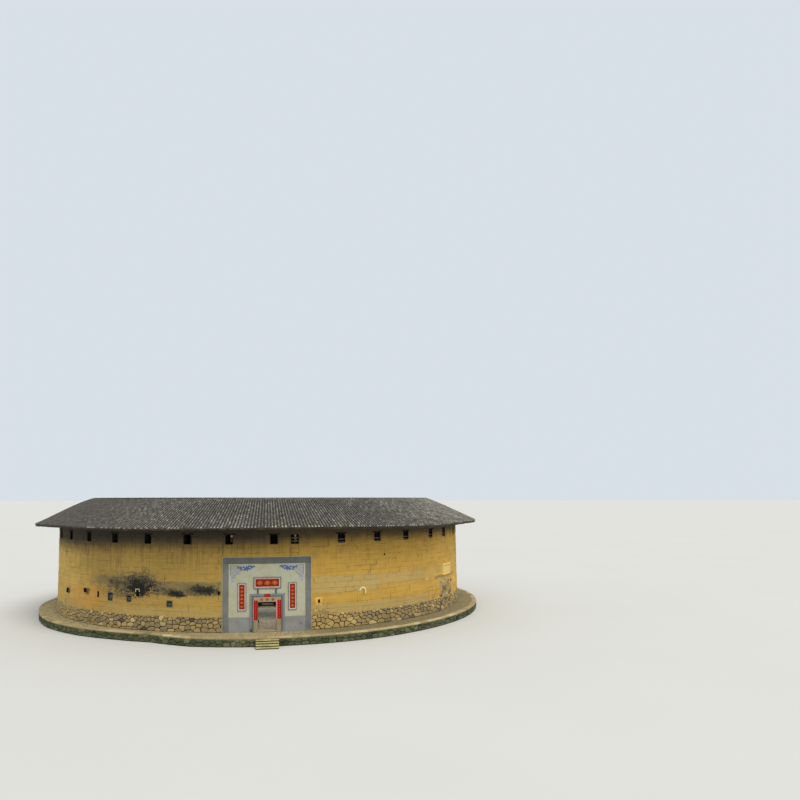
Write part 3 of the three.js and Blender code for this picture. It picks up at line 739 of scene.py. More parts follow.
def earth_wall_holes():
    """Holes as (from angle, to angle, low, high, level, dark): level 1 is a pocket, 2 goes through; the inner
    faces of dark ones take painted shade.
    """
    def hole(angle, half, low, high, level, dark):
        return angle - half, angle + half, low, high, level, dark

    sill, head = WINDOW_SILL_H, WINDOW_SILL_H + WINDOW_HEIGHT
    half_window = arc_degrees(WINDOW_WIDTH / 2)
    holes = [hole(from_gate(angle), half_window, sill, head, 2, True) for angle in WINDOWS]
    for angle, middle, width, height in POCKETS:
        low, high = middle - height / 2, middle + height / 2
        holes.append(hole(angle, arc_degrees(width / 2), low, high, 1, True))
    holes.append(hole(0, arc_degrees(FRAME_HALF) + 0.06, FOOTING_H, FRAME_TOP_H + 0.01, 1, False))
    holes.append(hole(0, arc_degrees(DOOR_HALF) + 0.12, FOOTING_H, DOOR_H, 2, False))
    return holes


def earth_wall():
    """The rammed wall as one closed shell, with ledges between its lifts."""
    holes = earth_wall_holes()
    columns = spaced_lines(np.arange(-180, 180, WALL_COLUMN), [a for hole in holes for a in hole[:2]], 0.3)
    levels = [h for hole in holes for h in hole[2:4]] + [FOOTING_H, WALL_TOP_OUTER_H + WALL_INTO_ROOF]
    lifts = np.arange(FOOTING_H + LIFT, WALL_TOP_OUTER_H, LIFT)
    rows = spaced_lines(np.sort(np.concatenate([lifts, lifts + LIFT_LEDGE])), levels, 0.02)
    rows = rows[np.insert(np.diff(rows) > 1e-4, 0, True)]
    column_count, row_count = len(columns), len(rows)

    depth = np.zeros((column_count, row_count - 1), int)
    dark = np.zeros((column_count, row_count - 1), bool)
    middles = (columns + np.append(columns[1:], 360 + columns[0])) / 2
    row_middles = (rows[1:] + rows[:-1]) / 2
    for left, right, low, high, level, in_hole_shade in holes:
        inside = np.ix_((middles > left) & (middles < right), (row_middles > low) & (row_middles < high))
        depth[inside] = level
        dark[inside] = in_hole_shade

    angle, h = np.meshgrid(columns, rows, indexing="ij")
    lift = ((h - FOOTING_H) / LIFT).astype(int)
    shifts = np.random.default_rng(11).uniform(-0.012, 0.012, 40)
    shift = shifts[np.clip(lift, 0, len(shifts) - 1)]
    swell = Ripple(3, 60, 1.6)(angle, h) * 0.018 + Ripple(4, 300, 7.0)(angle, h) * 0.012
    outer = wall_face(h) + shift + swell
    top = h >= rows[-1] - 1e-6
    sunk = np.where(top, by_angle(EAVE_SAG, angle), 0.0)
    inner_top = WALL_TOP_INNER_H + WALL_INTO_ROOF - sunk * sag_share(WALL_INNER_R)
    inner_level = np.where(top, inner_top, h)
    outer_level = h - sunk * sag_share(WALL_R)
    shells = [
        on_ring(angle, outer, outer_level),
        on_ring(angle, outer - POCKET_DEPTH, outer_level),
        on_ring(angle, WALL_INNER_R, inner_level),
    ]
    points = np.concatenate([shell.reshape(-1, 3) for shell in shells])
    index = np.arange(len(points)).reshape(3, column_count, row_count)
    faces, parts = [], []

    # A face's second material is painted shade, on the insides of windows and pockets.
    def add(in_hole_shade, *corners):
        faces.append([index[corner] for corner in corners])
        parts.append(int(in_hole_shade))

    for i in range(column_count):
        j = (i + 1) % column_count
        for k in range(row_count - 1):
            up = k + 1
            here, before = depth[i, k], depth[i - 1, k]
            below = depth[i, k - 1] if k else 2
            if here < 2:
                add(dark[i, k], (here, i, k), (here, j, k), (here, j, up), (here, i, up))
                add(False, (2, i, k), (2, i, up), (2, j, up), (2, j, k))
            if before != here:
                shade = dark[i, k] or dark[i - 1, k]
                add(shade, (before, i, k), (here, i, k), (here, i, up), (before, i, up))
            if below != here:
                shade = k and (dark[i, k] or dark[i, k - 1])
                add(shade, (below, i, k), (below, j, k), (here, j, k), (here, i, k))
        last, row = depth[i, -1], row_count - 1
        add(False, (last, i, row), (last, j, row), (2, j, row), (2, i, row))
    used, renumbered = np.unique([corner for face in faces for corner in face], return_inverse=True)
    faces = renumbered.reshape(-1, 4).tolist()
    replaced = [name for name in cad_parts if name.startswith(("earth_wall", "window_course"))]
    new_piece("rammed_earth_wall", points[used], faces, [EARTH, HOLE_SHADE],
              parts=parts, replaced=replaced)


# Field stones. Tries for their middles in a band, and how near two may stand as a share of their size
STONE_TRIES, STONE_SPACING = 14000, 0.78
# The open joint between two stones, and the narrowest stone laid
STONE_JOINT, LEAST_STONE = 0.058, 0.07
# Layers of a stone: the share of its outline, and of how proud it stands, or metres behind the face
STONE_LAYERS = ((1.0, -0.03), (0.98, 0.45), (0.88, 0.92), (0.50, 1.0))


def clip(outline, point, normal):
    """The part of a convex outline on the near side of a line."""
    kept = []
    for k, here in enumerate(outline):
        there = outline[(k + 1) % len(outline)]
        a, b = (sum((p - q) * n for p, q, n in zip(end, point, normal)) for end in (here, there))
        if a <= 0:
            kept.append(here)
        if a * b < 0:
            share = a / (a - b)
            kept.append(tuple(p + (q - p) * share for p, q in zip(here, there)))
    return kept


def stone_outlines(length, low, high, sizes, flatness, seed):
    """Convex outlines that fill a band round the ring: sizes are widths at its foot and its top."""
    rng = np.random.default_rng(seed)
    tries = rng.uniform((0, low), (length, high), (STONE_TRIES, 2))
    count, seeds = 0, np.empty_like(tries)
    for middle in tries:
        apart = sizes[0] + (sizes[1] - sizes[0]) * (middle[1] - low) / (high - low)
        away = np.abs(seeds[:count] - middle)
        away[:, 0] = np.minimum(away[:, 0], length - away[:, 0])
        if count == 0 or np.min(np.hypot(away[:, 0], away[:, 1] * flatness)) > apart * STONE_SPACING:
            seeds[count] = middle
            count += 1
    seeds = seeds[:count]
    ghosts = np.concatenate([seeds, seeds + (length, 0), seeds - (length, 0)])
    reach = 1.6 * max(sizes)
    outlines = []
    for middle in seeds:
        outline = rectangle(middle[0] - reach, middle[0] + reach, low, high)
        distance = np.hypot(*((ghosts - middle) * (1, flatness)).T)
        for k in np.argsort(distance)[1:16]:
            if distance[k] > 2 * reach or len(outline) < 3:
                break
            normal = (ghosts[k] - middle) * (1, flatness * flatness)
            outline = clip(outline, (ghosts[k] + middle) / 2, normal)
        if len(outline) > 2:
            outlines.append(outline)
    return outlines


def rounded(outline, rng):
    """An outline with its corners cut and two jittered points on each side."""
    points = []
    for k, here in enumerate(outline):
        there = outline[(k + 1) % len(outline)]
        for share in (0.13, 0.87):
            points.append([a + (b - a) * share + rng.uniform(-0.02, 0.02) for a, b in zip(here, there)])
    return np.array(points)


def laid_stones(name, material, heights, size, flatness, proud, seed,
                face=lambda angle, h: wall_face(h), radius=WALL_R, skip=None, clear=0.0):
    """Rough stones with open joints on a round face, cut off at a clear width each side of the gate."""
    length = 2 * math.pi * radius
    rng = np.random.default_rng(seed + 1)
    shapes = Shapes()
    for outline in stone_outlines(length, *heights, size, flatness, seed):
        middle = np.mean(outline, axis=0)
        angle = from_gate(math.degrees(middle[0] / radius))
        if skip and skip(angle, middle[1]):
            continue
        if clear:
            side, start = (1, 0.0) if angle > 0 else (-1, length)
            outline = clip(outline, (start + side * clear, 0.0), (-side, 0.0))
            if len(outline) < 3:
                continue
            middle = np.mean(outline, axis=0)
        extent = np.ptp(outline, axis=0)
        if min(extent) < LEAST_STONE:
            continue
        soft = rounded(outline, rng)
        relief = proud * rng.uniform(0.45, 1.0)
        tilt = rng.uniform(-0.04, 0.04, 2)
        joint = 1 - STONE_JOINT / extent
        rings = []
        for shrink, depth in STONE_LAYERS:
            ring = middle + (soft - middle) * joint * shrink
            turned = np.degrees(ring[:, 0] / radius)
            out = depth * relief if depth > 0 else depth
            if depth > 0.5:
                out = out + (ring - middle) @ tilt
            rings.append(on_ring(turned, face(turned, ring[:, 1]) + out, ring[:, 1]))
        shapes.layers(rings, any_tone(rng, 0.5, 0.21))
    shapes.piece(name, material, "rubble")


def footing_stones():
    """Rubble up to the earth's foot, and stones laid bare where earth has fallen."""
    laid_stones("footing_stones", FOOTING_STONE, (0.0, FOOTING_H + 0.06), (0.60, 0.34), 1.35, 0.06, 21,
                clear=math.radians(PANEL_HALF + 0.05) * WALL_R)
    laid_stones("gate_side_rubble", FOOTING_STONE, (FOOTING_H + 0.03, 1.95), (0.38, 0.32), 1.3, 0.05, 26,
                skip=lambda angle, h: not (10.5 < angle < 17.0 and h < 1.80 - 0.06 * (angle - 10.3)))
    rng = np.random.default_rng(28)

    def sound(angle, h):
        return not (52.4 < angle < 61.4 and h < 3.25 - 0.08 * abs(angle - 57) and rng.random() < 0.62)

    laid_stones("bare_rubble", BARE_STONE, (1.35, 3.3), (0.40, 0.36), 1.3, 0.05, 27, skip=sound)


def plinth_stones():
    """The plinth's facing of field stones, and the kerb flags on its two edges."""
    laid_stones("plinth_stones", PLINTH_STONE, (-PLINTH_H + 0.02, -0.10), (0.62, 0.50), 1.5, 0.06, 31,
                face=lambda angle, h: plinth_edge(angle), radius=PLINTH_OUTER_R, clear=STEP_HALF + 0.005)
    kerb = Shapes()
    rng = np.random.default_rng(33)
    inner_kerb = PLINTH_INNER_R + 0.40
    for edge_at, middle_r, width, depth in (
        (plinth_edge, 23.4, 0.50, 0.11), (lambda angle: inner_kerb, inner_kerb, 0.42, 0.10)
    ):
        angle = 0.0
        gap = arc_degrees(0.010, middle_r)
        while angle < 359.0:
            end = angle + arc_degrees(rng.uniform(0.6, 1.35), middle_r)
            if end > 358.6:
                end = 360.0
            lift = rng.uniform(0.004, 0.020)
            across = width * rng.uniform(0.75, 1.1)
            rings = []
            for a in np.linspace(angle + gap, end - gap, 3):
                outer = float(edge_at(a)) + 0.03
                inner = outer - across
                section = [(inner, -depth), (outer, -depth), (outer + 0.012, -0.02), (outer - 0.03, lift),
                           (inner + 0.02, lift)]
                rings.append([on_ring(a, r, h) for r, h in section])
            kerb.layers(rings, any_tone(rng, 0.55, 0.18))
            angle = end
    kerb.piece("plinth_kerb", SLAB, "step_stone")


# Roof
TILE_LIFT = 0.028
DECK_THICKNESS = 0.03
RAFTER_DEPTH = 0.12
TILE_BED = RAFTER_DEPTH + DECK_THICKNESS
# Tile columns round the ring and courses up the slope
OUTER_TILES, INNER_TILES = (540, 24), (408, 20)
# Tone of a slope's underside, and of the edge below the first course as a share of its tiles' tone, darkened
# as painted shade
UNDERSIDE_TONE, EDGE_SHADE = 0.3, 0.45
# Across one column: share of its width, height over the deck, and how much it is a crown
OUTER_SECTION = [(0.0, 0.02, 0.0), (0.24, 0.034, 0.0), (0.30, 0.075, 0.75), (0.50, 0.108, 1.0),
                 (0.70, 0.075, 0.75), (0.76, 0.034, 0.0)]
INNER_SECTION = [(0.0, 0.02, 0.0), (0.27, 0.05, 0.4), (0.50, 0.105, 1.0), (0.73, 0.05, 0.4)]
# Mouths of the cover tiles: height, and how far past the eave a limed and a bare one stand
MOUTH_H, LIMED_OUT, BARE_OUT = 0.085, 0.012, 0.006
# How strongly the slope swells above a sunken eave
SWELL = 3.6
# How far the outer eave has sunk: (angle, real metres), most on the far left
EAVE_SAG = [
    (-150, 0.0), (-115, 0.38), (-85, 0.38), (-60, 0.12), (-50, 0.10), (-38, 0.17), (-28, 0.16), (-18, 0.11),
    (-6, 0.03), (4, 0.0), (14, 0.01), (28, 0.10), (42, 0.17), (58, 0.06), (75, 0.12), (110, 0.12), (150, 0.0),
]


def sag_share(radius):
    """The part of the eave's sag that a radius of the outer slope takes."""
    return (radius - RIDGE_R) / (EAVE_R - RIDGE_R)


def outer_deck(radius, angle):
    """Height of the outer slope's underside."""
    slope = (RIDGE_UNDERSIDE_H - EAVE_H) / (EAVE_R - RIDGE_R)
    share = sag_share(radius)
    swollen = SWELL * share * (1 - share) * np.clip(1 - share, 0, 1)
    return EAVE_H + (EAVE_R - radius) * slope + by_angle(EAVE_SAG, angle) * (swollen - share)


def inner_deck(radius, _angle):
    """Height of the inner slope's underside, the same all round."""
    slope = (RIDGE_UNDERSIDE_H - INNER_EAVE_H) / (RIDGE_R - INNER_EAVE_R)
    return INNER_EAVE_H + (radius - INNER_EAVE_R) * slope


def tile_slope(name, tiles, section, radii, deck_at, seed, nodes=()):
    """Corrugated courses of tiles on a deck, closed, in four quarters of the ring."""
    rng = np.random.default_rng(seed)
    columns, courses = tiles
    share, rise, crown = (np.tile(values, columns) for values in zip(*section))
    column = np.repeat(np.arange(columns), len(section))
    angle = (column + share) * 360 / columns
    is_crown = crown > 0.3
    wave = Ripple(seed + 1, 90, 0.5)(angle, np.zeros_like(angle))
    low_edge, high_edge = (on_ring(angle, r, deck_at(r, angle) + RAFTER_DEPTH) for r in radii)
    rows, tones = [low_edge], []
    edges = np.linspace(0, 1, courses + 1)
    for course in range(courses):
        shift = rng.normal(0, 0.05, columns)[column] * 360 / columns * is_crown
        drop = rng.normal(0, 0.006, columns)[column] * is_crown
        slide = (rng.normal(0, 0.012, columns)[column] - 0.01) / 5.5
        tones.append(np.clip(rng.normal(0.5, 0.2, columns), 0, 1)[column])
        foot = edges[course] + (slide if course else 0)
        for along, lift in ((foot, TILE_LIFT), (edges[course + 1], 0.0)):
            radius = radii[0] + (radii[1] - radii[0]) * along
            sag = wave * 0.025 * (1 - 0.6 * along)
            h = deck_at(radius, angle) + TILE_BED + rise + lift + drop + sag
            rows.append(on_ring(angle + shift, radius, h))
    grid = np.array(rows + [high_edge])
    row_count, around = grid.shape[:2]
    for quarter in range(4):
        picked = (quarter * around // 4 - around // 8 + np.arange(around // 4 + 1)) % around
        width = len(picked)
        faces, tone_of, parts = [], [], []

        def add(face, tone, part):
            faces.append(face)
            tone_of.append(tone)
            parts.append(part)

        for row in range(row_count - 1):
            tile = tones[min(max(row - 1, 0) // 2, courses - 1)][picked]
            for k in range(width - 1):
                a = row * width + k
                face = (a, a + 1, a + width + 1, a + width)
                # The edge under the first course is darkened as painted shade.
                add(face, tile[k] if row else tile[k] * EDGE_SHADE, int(row == 0))
        last = (row_count - 1) * width
        for k in range(width - 1):
            add((k + 1, k, last + k, last + k + 1), UNDERSIDE_TONE, 2)
        for side in (0, width - 1):
            ring = [row * width + side for row in range(row_count)]
            add(ring if side else ring[::-1], UNDERSIDE_TONE, 0)
        new_piece(f"{name}_{quarter + 1}", grid[:, picked].reshape(-1, 3), faces,
                  [TILE, ROOF_MORTAR, DARK_TIMBER], tone_of, np.tile(crown[picked], row_count),
                  parts, nodes[quarter:quarter + 1])


def mouth_lime_and_shade_tone(angle, chance):
    """Tone of one tile's mouth: limed over the gate, mostly bare elsewhere, where a low tone is painted shade
    in the hollow.
    """
    if 0.0 < angle < 16.0:
        return 1.0 if chance < 0.60 else 0.45
    if -40.0 < angle < 75.0:
        return 0.85 if chance < 0.45 else 0.36
    return 0.50 if chance < 0.25 else 0.15 + 0.2 * chance


def eave_ends(name, columns, eave, deck_at, width, seed):
    """Half-round mouths of the cover tiles: lime plugs in some, and in the others a dark plate, painted shade
    inside the hollow tile.
    """
    rng = np.random.default_rng(seed)
    shapes = Shapes()
    outward = 1 if eave > RIDGE_R else -1
    radius = eave + 0.02 * outward
    outline = [(math.cos(t) * width / 2, math.sin(t) * MOUTH_H) for t in np.linspace(0, math.pi, 6)]
    for k in range(columns):
        angle = (k + 0.5) * 360 / columns
        pale = mouth_lime_and_shade_tone(from_gate(angle), rng.random())
        front = radius + (LIMED_OUT if pale > 0.5 else BARE_OUT) * outward
        base = deck_at(eave, angle) + TILE_BED + 0.045
        rings = []
        for r in (radius - 0.05 * outward, front):
            rings.append([on_ring(angle + math.degrees(s / r), r, base + z) for s, z in outline])
        shapes.layers(rings, pale)
    shapes.piece(name, ROOF_MORTAR, "roof_tile")


def roof():
    """Tiles of both slopes and the mouths at both eaves."""
    nodes = [f"roof_{quarter}" for quarter in (1, 2, 3, 4)]
    tile_slope("roof_tiles_outer", OUTER_TILES, OUTER_SECTION, (EAVE_R + 0.02, RIDGE_R + 0.10), outer_deck,
               41, nodes)
    tile_slope("roof_tiles_inner", INNER_TILES, INNER_SECTION, (INNER_EAVE_R - 0.02, RIDGE_R - 0.10),
               inner_deck, 47)
    eave_ends("eave_ends_outer", OUTER_TILES[0], EAVE_R, outer_deck, 0.135, 43)
    eave_ends("eave_ends_inner", INNER_TILES[0], INNER_EAVE_R, inner_deck, 0.11, 49)


def ridge():
    """Lime bed with tiles stacked on edge along it."""
    rng = np.random.default_rng(51)
    low, bed = RIDGE_UNDERSIDE_H + 0.10, RIDGE_TOP_H - 0.13
    section = [(-0.22, low), (0.22, low), (0.20, bed - 0.03), (0.13, bed + 0.01), (-0.13, bed + 0.01),
               (-0.20, bed - 0.03)]
    turns, count = 240, len(section)
    points, faces = [], []
    for k in range(turns):
        points += [on_ring(k * 360 / turns, RIDGE_R + r, h + rng.uniform(-0.006, 0.006)) for r, h in section]
        here, there = k * count, (k + 1) % turns * count
        for i in range(count):
            j = (i + 1) % count
            faces.append((here + i, here + j, there + j, there + i))
    new_piece("ridge_bed", points, faces, [ROOF_MORTAR], [0.6] * len(faces))

    stack = Shapes()
    tiles = 1080
    thick = arc_degrees(0.062, RIDGE_R)
    for k in range(tiles):
        angle = k * 360 / tiles + rng.normal(0, 0.01)
        tilt = arc_degrees(0.055 + rng.normal(0, 0.006), RIDGE_R)
        top = RIDGE_TOP_H - 0.012 + rng.normal(0, 0.006)
        half = 0.105 + rng.normal(0, 0.004)
        corners = []
        for h, shift in ((bed, 0.0), (top, tilt)):
            for a, r in ((0, -half), (thick, -half), (thick, half), (0, half)):
                corners.append(on_ring(angle + a + shift, RIDGE_R + r, h))
        stack.add(corners, Shapes.BOX_FACES, any_tone(rng, 0.45, 0.2))
    stack.piece("ridge_tiles", TILE, "roof_tile", crown=0.7)


def rafters():
    """Rafters of both slopes, and the boards on their ends."""
    rng = np.random.default_rng(61)
    for name, count, radii, deck_at in (
        ("rafters_outer", 300, (WALL_INNER_R + 0.4, EAVE_R - 0.05), outer_deck),
        ("rafters_inner", 216, (INNER_EAVE_R + 0.05, 16.8), inner_deck),
    ):
        shapes = Shapes()
        for k in range(count):
            angle = k * 360 / count + rng.normal(0, 0.03)
            lows = [deck_at(r, angle) + 0.004 for r in radii]
            shapes.beam(angle, 0.09, radii, lows, RAFTER_DEPTH - 0.004)
        shapes.piece(name, DARK_TIMBER, "timber")

    boards = Shapes()
    for eave, radius, deck_at in (
        (EAVE_R, EAVE_R - 0.045, outer_deck), (INNER_EAVE_R, INNER_EAVE_R + 0.015, inner_deck)
    ):
        for start in range(0, 360, 4):
            low = float(deck_at(eave, start + 2)) + 0.01
            heights = (low, low + RAFTER_DEPTH + 0.04)
            tone = rng.uniform(0.3, 0.7)
            boards.block((start + 0.03, start + 3.97), (radius, radius + 0.03), heights, tone)
    boards.piece("eave_boards", DARK_TIMBER, "timber")


# Relief laid on the wall
def inset(outline, width):
    """A convex outline, counter-clockwise, moved in by a width on each side."""
    points = np.array(outline, float)
    sides = np.roll(points, -1, axis=0) - points
    normals = np.stack([-sides[:, 1], sides[:, 0]], axis=1)
    normals /= np.linalg.norm(normals, axis=1)[:, None]
    before = np.roll(normals, 1, axis=0)
    return points + (before + normals) * width / (1 + (before * normals).sum(1, keepdims=True))


def pair(left, right, low, high):
    """A box left of the gate's middle, and its mirror image."""
    return [(left, right, low, high), (-right, -left, low, high)]


class Relief(Shapes):
    """Plates drawn flat, as metres along the wall and up, laid on the curved wall at an angle."""

    STEP = 0.45

    def plate(self, outline, back, front, bevel=0.0):
        """A plate between two depths in front of the wall's face."""
        rings = [(back, outline), (front - bevel, outline)]
        if bevel:
            rings.append((front, inset(outline, bevel)))
        self.layers([[(s, depth, h) for s, h in ring] for depth, ring in rings])

    def plates(self, boxes, *depths):
        """Plates from boxes (left, right, low, high), all between the same depths."""
        for box in boxes:
            self.plate(rectangle(*box), *depths)
        return self

    def picture_frame(self, box, width, *depths):
        """Four mitred members inside a box."""
        outer, inner = rectangle(*box), rectangle(*shrunk(box, width))
        for k in range(-4, 0):
            self.plate([outer[k], outer[k + 1], inner[k + 1], inner[k]], *depths)
        return self

    def rosette(self, middle, size, back, front, petals=8, turn=0.0):
        """A round flower of oval petals about a button."""
        for k in range(petals):
            direction = turn + 360 * k / petals
            t = math.radians(direction)
            at = (middle[0] + math.cos(t) * size * 0.62, middle[1] + math.sin(t) * size * 0.62)
            self.plate(oval(at, size * 0.36, size * 0.17, direction, 8), back, front)
        self.plate(oval(middle, size * 0.24, size * 0.24), back, front + 0.004)

    def stroke(self, points, width, back, front):
        """A line of short plates through points."""
        points = np.array(points, float)
        for a, b in zip(points, points[1:]):
            along = (b - a) / np.linalg.norm(b - a)
            across = np.array([-along[1], along[0]]) * width / 2
            reach = along * width * 0.3
            outline = (a - reach - across, b + reach - across, b + reach + across, a - reach + across)
            self.plate(outline, back, front)

    def lay(self, name, material, slot, *replaced, angle=0.0):
        """The shapes cut every STEP along the wall and wrapped round it."""
        mesh = bmesh.new()
        points = [mesh.verts.new(point) for point in self.points]
        layer = mesh.faces.layers.float.new("tone")
        for face, tone in zip(self.faces, self.tones):
            mesh.faces.new([points[k] for k in face])[layer] = tone
        bmesh.ops.recalc_face_normals(mesh, faces=mesh.faces)
        along = [point[0] for point in self.points]
        for cut in range(math.ceil(min(along) / self.STEP), math.floor(max(along) / self.STEP) + 1):
            bmesh.ops.bisect_plane(
                mesh, geom=mesh.verts[:] + mesh.edges[:] + mesh.faces[:],
                plane_co=(cut * self.STEP, 0, 0), plane_no=(1, 0, 0),
            )
        for vertex in mesh.verts:
            s, depth, h = vertex.co
            vertex.co = to_model(on_ring(angle + arc_degrees(s), wall_face(h) + depth, h))
        data = bpy.data.meshes.new(name)
        mesh.to_mesh(data)
        mesh.free()
        data.materials.append(material)
        add_piece(name, data, replaced)


# Gate. Boxes are (left, right, low, high), sizes along the wall
PANEL = (-3.715, 3.715, 0.0, 6.26)
FIELD_BOX = (-3.208, 3.208, 1.27, 5.72)
SURROUND_HALF, SURROUND_TOP_H = 1.45, 3.21
SURROUND_BAND = 0.17
MAIN_PLAQUE = (-1.15, 1.15, 3.63, 4.62)
SIDE_PLAQUE_AT = 2.10
SIDE_PLAQUE = (-0.36, 0.36, 1.80, 4.12)
# How far off the wall's face plaster starts, and how far what is painted or hung on the field does
OFF_WALL, FIELD_FACE = 0.001, 0.0455


def gate_panel():
    """Border, lip, field and dado of the plastered gate, with three small holes drawn as dark plates of
    painted shade.
    """
    left, right, low, high = PANEL
    a, b, c, d = FIELD_BOX
    grey, white = "grey_plaster", "white_plaster"
    border = (OFF_WALL, 0.06, 0.004)
    sides = Relief().plates(pair(left, a, low, d), *border)
    sides.lay("gate_border_sides", BORDER_SIDE, grey, "gate_border")
    Relief().plates([(left, right, d, high)], *border).lay("gate_border_top", BORDER_TOP, grey)
    lip = pair(left - 0.05, left, low, high + 0.05) + [(left, right, high, high + 0.05)]
    Relief().plates(lip, OFF_WALL, 0.035, 0.01).lay("gate_lip", FIELD_LIP, grey)

    a, b, d = a + 0.004, b - 0.004, d - 0.004
    field = pair(a, -SURROUND_HALF, c, SURROUND_TOP_H) + [(a, b, SURROUND_TOP_H, d)]
    Relief().plates(field, OFF_WALL, 0.045).lay("gate_field_plaster", FIELD, white, "gate_plaster")
    edge = pair(a, a + 0.056, c, d - 0.056) + [(a, b, d - 0.056, d)]
    Relief().plates(edge, 0.045, 0.052, 0.003).lay("gate_field_edge", FIELD_LIP, white)
    dado = Relief().plates(pair(a, -SURROUND_HALF - 0.002, 0.0, c - 0.004), OFF_WALL, 0.055, 0.008)
    dado.lay("gate_dado_plaster", DADO, grey, "gate_dado_left", "gate_dado_right")

    # The small holes are dark plates laid on the plaster: painted shade standing for the holes.
    holes = Relief()
    for middle, size in (((2.83, 0.62), 0.055), ((2.35, 0.30), 0.03)):
        holes.plate(oval(middle, size, size), 0.045, 0.0565)
    holes.plates([(-1.40, -1.27, 0.03, 0.30)], 0.09, 0.1115)
    holes.lay("gate_holes", DARK_TIMBER, grey)


def door_band(name, material, outer, inner, front, bevel, *replaced):
    """A mitred band up both sides and over the door, from two (half width, top height)."""
    (x, top), (y, under) = outer, inner
    band = Relief()
    for outline in (
        [(-x, 0), (-y, 0), (-y, under), (-x, top)],
        [(y, 0), (x, 0), (x, top), (y, under)],
        [(-y, under), (y, under), (x, top), (-x, top)],
    ):
        band.plate(outline, OFF_WALL, front, bevel)
    band.lay(name, material, "grey_plaster", *replaced)


def door_surround():
    outer = (SURROUND_HALF, SURROUND_TOP_H)
    middle = (SURROUND_HALF - SURROUND_BAND, SURROUND_TOP_H - SURROUND_BAND)
    door_band("surround_outer", SURROUND_EDGE, outer, middle, 0.11, 0.012, "door_surround")
    door_band("surround_inner", SURROUND, middle, (FRAME_HALF, FRAME_TOP_H), 0.088, 0.008)


def doorway():
    """Granite jambs, lintel and sill, each slightly uneven in tone, with medallions and papers."""
    back, face = WALL_R - 0.35, WALL_R + 0.08
    half, door, top = FRAME_HALF, DOOR_HALF, DOOR_H - 0.001
    stones = {
        "jamb_left": [
            (-half, -door, face, back, 0.001, 1.02, 0.012, 0.55),
            (-half, -door, face, back, 1.025, top, 0.012, 0.45),
        ],
        "jamb_right": [
            (door - 0.01, half, face + 0.03, back, 0.001, 0.56, 0.015, 0.62),
            (door, half, face, back, 0.565, top, 0.012, 0.50),
        ],
        "lintel": [(-half, half, face, back, DOOR_H, FRAME_TOP_H, 0.014, 0.68)],
        "sill": [(-door + 0.001, door - 0.001, face, back, 0.001, 0.14, 0.02, 0.6)],
    }
    for name, blocks in stones.items():
        shapes = Shapes()
        for block in blocks:
            shapes.square_block(*block)
        shapes.piece(name, GATE_STONE, "gate_stone", f"door_{name}")

    medallions = Shapes()
    for x in (-0.47, 0.0, 0.47):
        for size, depth in ((0.125, 0.012), (0.08, 0.022), (0.03, 0.028)):
            medallions.facing(oval((0, 0), size, size, count=16), x, 2.74, (face, face + depth))
    medallions.piece("lintel_medallions", MEDALLION, "gate_stone")

    papers, margins, marks = Shapes(), Shapes(), Shapes()
    jamb = (half + door) / 2
    behind, edge = face - 0.01, 0.002
    for middle, margin, low, high in ((-jamb, 0.215, 1.02, 2.68), (jamb + 0.04, 0.265, 1.09, 2.70)):
        heights = (low - 0.03, high + 0.01)
        margins.square_block(middle - margin, middle, face + 0.004, behind, *heights, edge)
        papers.square_block(middle - 0.165, middle + 0.165, face + 0.009, behind, low, high, edge)
        for k in range(7):
            mark = oval((0, 0), 0.05, 0.085, 12 * (k % 3), 6)
            marks.facing(mark, middle, low + 0.16 + 0.225 * k, (face + 0.008, face + 0.0115))
    margins.piece("couplet_margins", PINK, "gate_stone")
    papers.piece("couplet_papers", PAPER_RED, "gate_stone")
    marks.piece("couplet_marks", COUPLET_MARK, "gate_stone")
    square = Relief().plates([(-0.255, 0.255, 2.925, 3.195)], 0.085, 0.118, 0.006)
    square.lay("red_square", PAPER_RED, "gate_stone")
    tie = Relief().plates([(-0.16, 0.16, 3.04, 3.08)], 0.11, 0.1205)
    tie.lay("red_square_mark", COUPLET_MARK, "gate_stone")


def transom():
    """Boarding behind the lintel with two rails, and a bolt on the left jamb."""
    face = WALL_R - 0.36
    rear, half, top = face - 0.02, DOOR_HALF, DOOR_H - 0.002
    boards, rails = Shapes(), Shapes()
    boards.square_block(-half + 0.002, half - 0.002, face - 0.001, face - 0.09, 2.0, top, 0.004, 0.4)
    rails.square_block(-0.46, 0.50, face + 0.03, rear, 2.24, 2.37, 0.01, 0.6)
    rails.square_block(-half + 0.01, half - 0.01, face + 0.05, rear, 2.01, 2.13, 0.01, 0.5)
    boards.square_block(-half + 0.001, -half + 0.11, face + 0.05, rear, 0.74, 0.95, 0.01, 0.4)
    # The boarding and the bolt are coloured as painted shade, the same as the wall's holes.
    boards.piece("transom_boards", HOLE_SHADE, "timber", "door_transom")
    rails.piece("transom_rails", TRANSOM_RAIL, "timber")


def plaque(name, box, angle, node, frame_width, white_width, rosettes, size):
    """Grey frame, white band, pink line and a red field with gold rosettes."""
    back, front, slot = FIELD_FACE, 0.115, "plaque_board"
    for part, material, width, depths, replaced in (
        ("frame", PLAQUE_FRAME, frame_width, (back, front, 0.01), [node]),
        ("band", WHITE_LINE, white_width, (back, front - 0.02, 0.006), []),
        ("line", PINK, 0.035, (back, front - 0.03), []),
    ):
        border = Relief().picture_frame(box, width, *depths)
        border.lay(f"{name}_{part}", material, slot, *replaced, angle=angle)
        box = shrunk(box, width)
    Relief().plates([box], back, front - 0.035).lay(f"{name}_field", BOARD_RED, slot, angle=angle)
    gold = Relief()
    sunk = front - 0.036
    for s, h in rosettes:
        gold.rosette((s, h), size, sunk, sunk + 0.010)
        for side in (-1, 1):
            leaf = oval((s + side * size * 1.02, h), size * 0.10, size * 0.5, side * 20, 8)
            gold.plate(leaf, sunk, sunk + 0.008)
    gold.lay(f"{name}_gold", GOLD, slot, angle=angle)


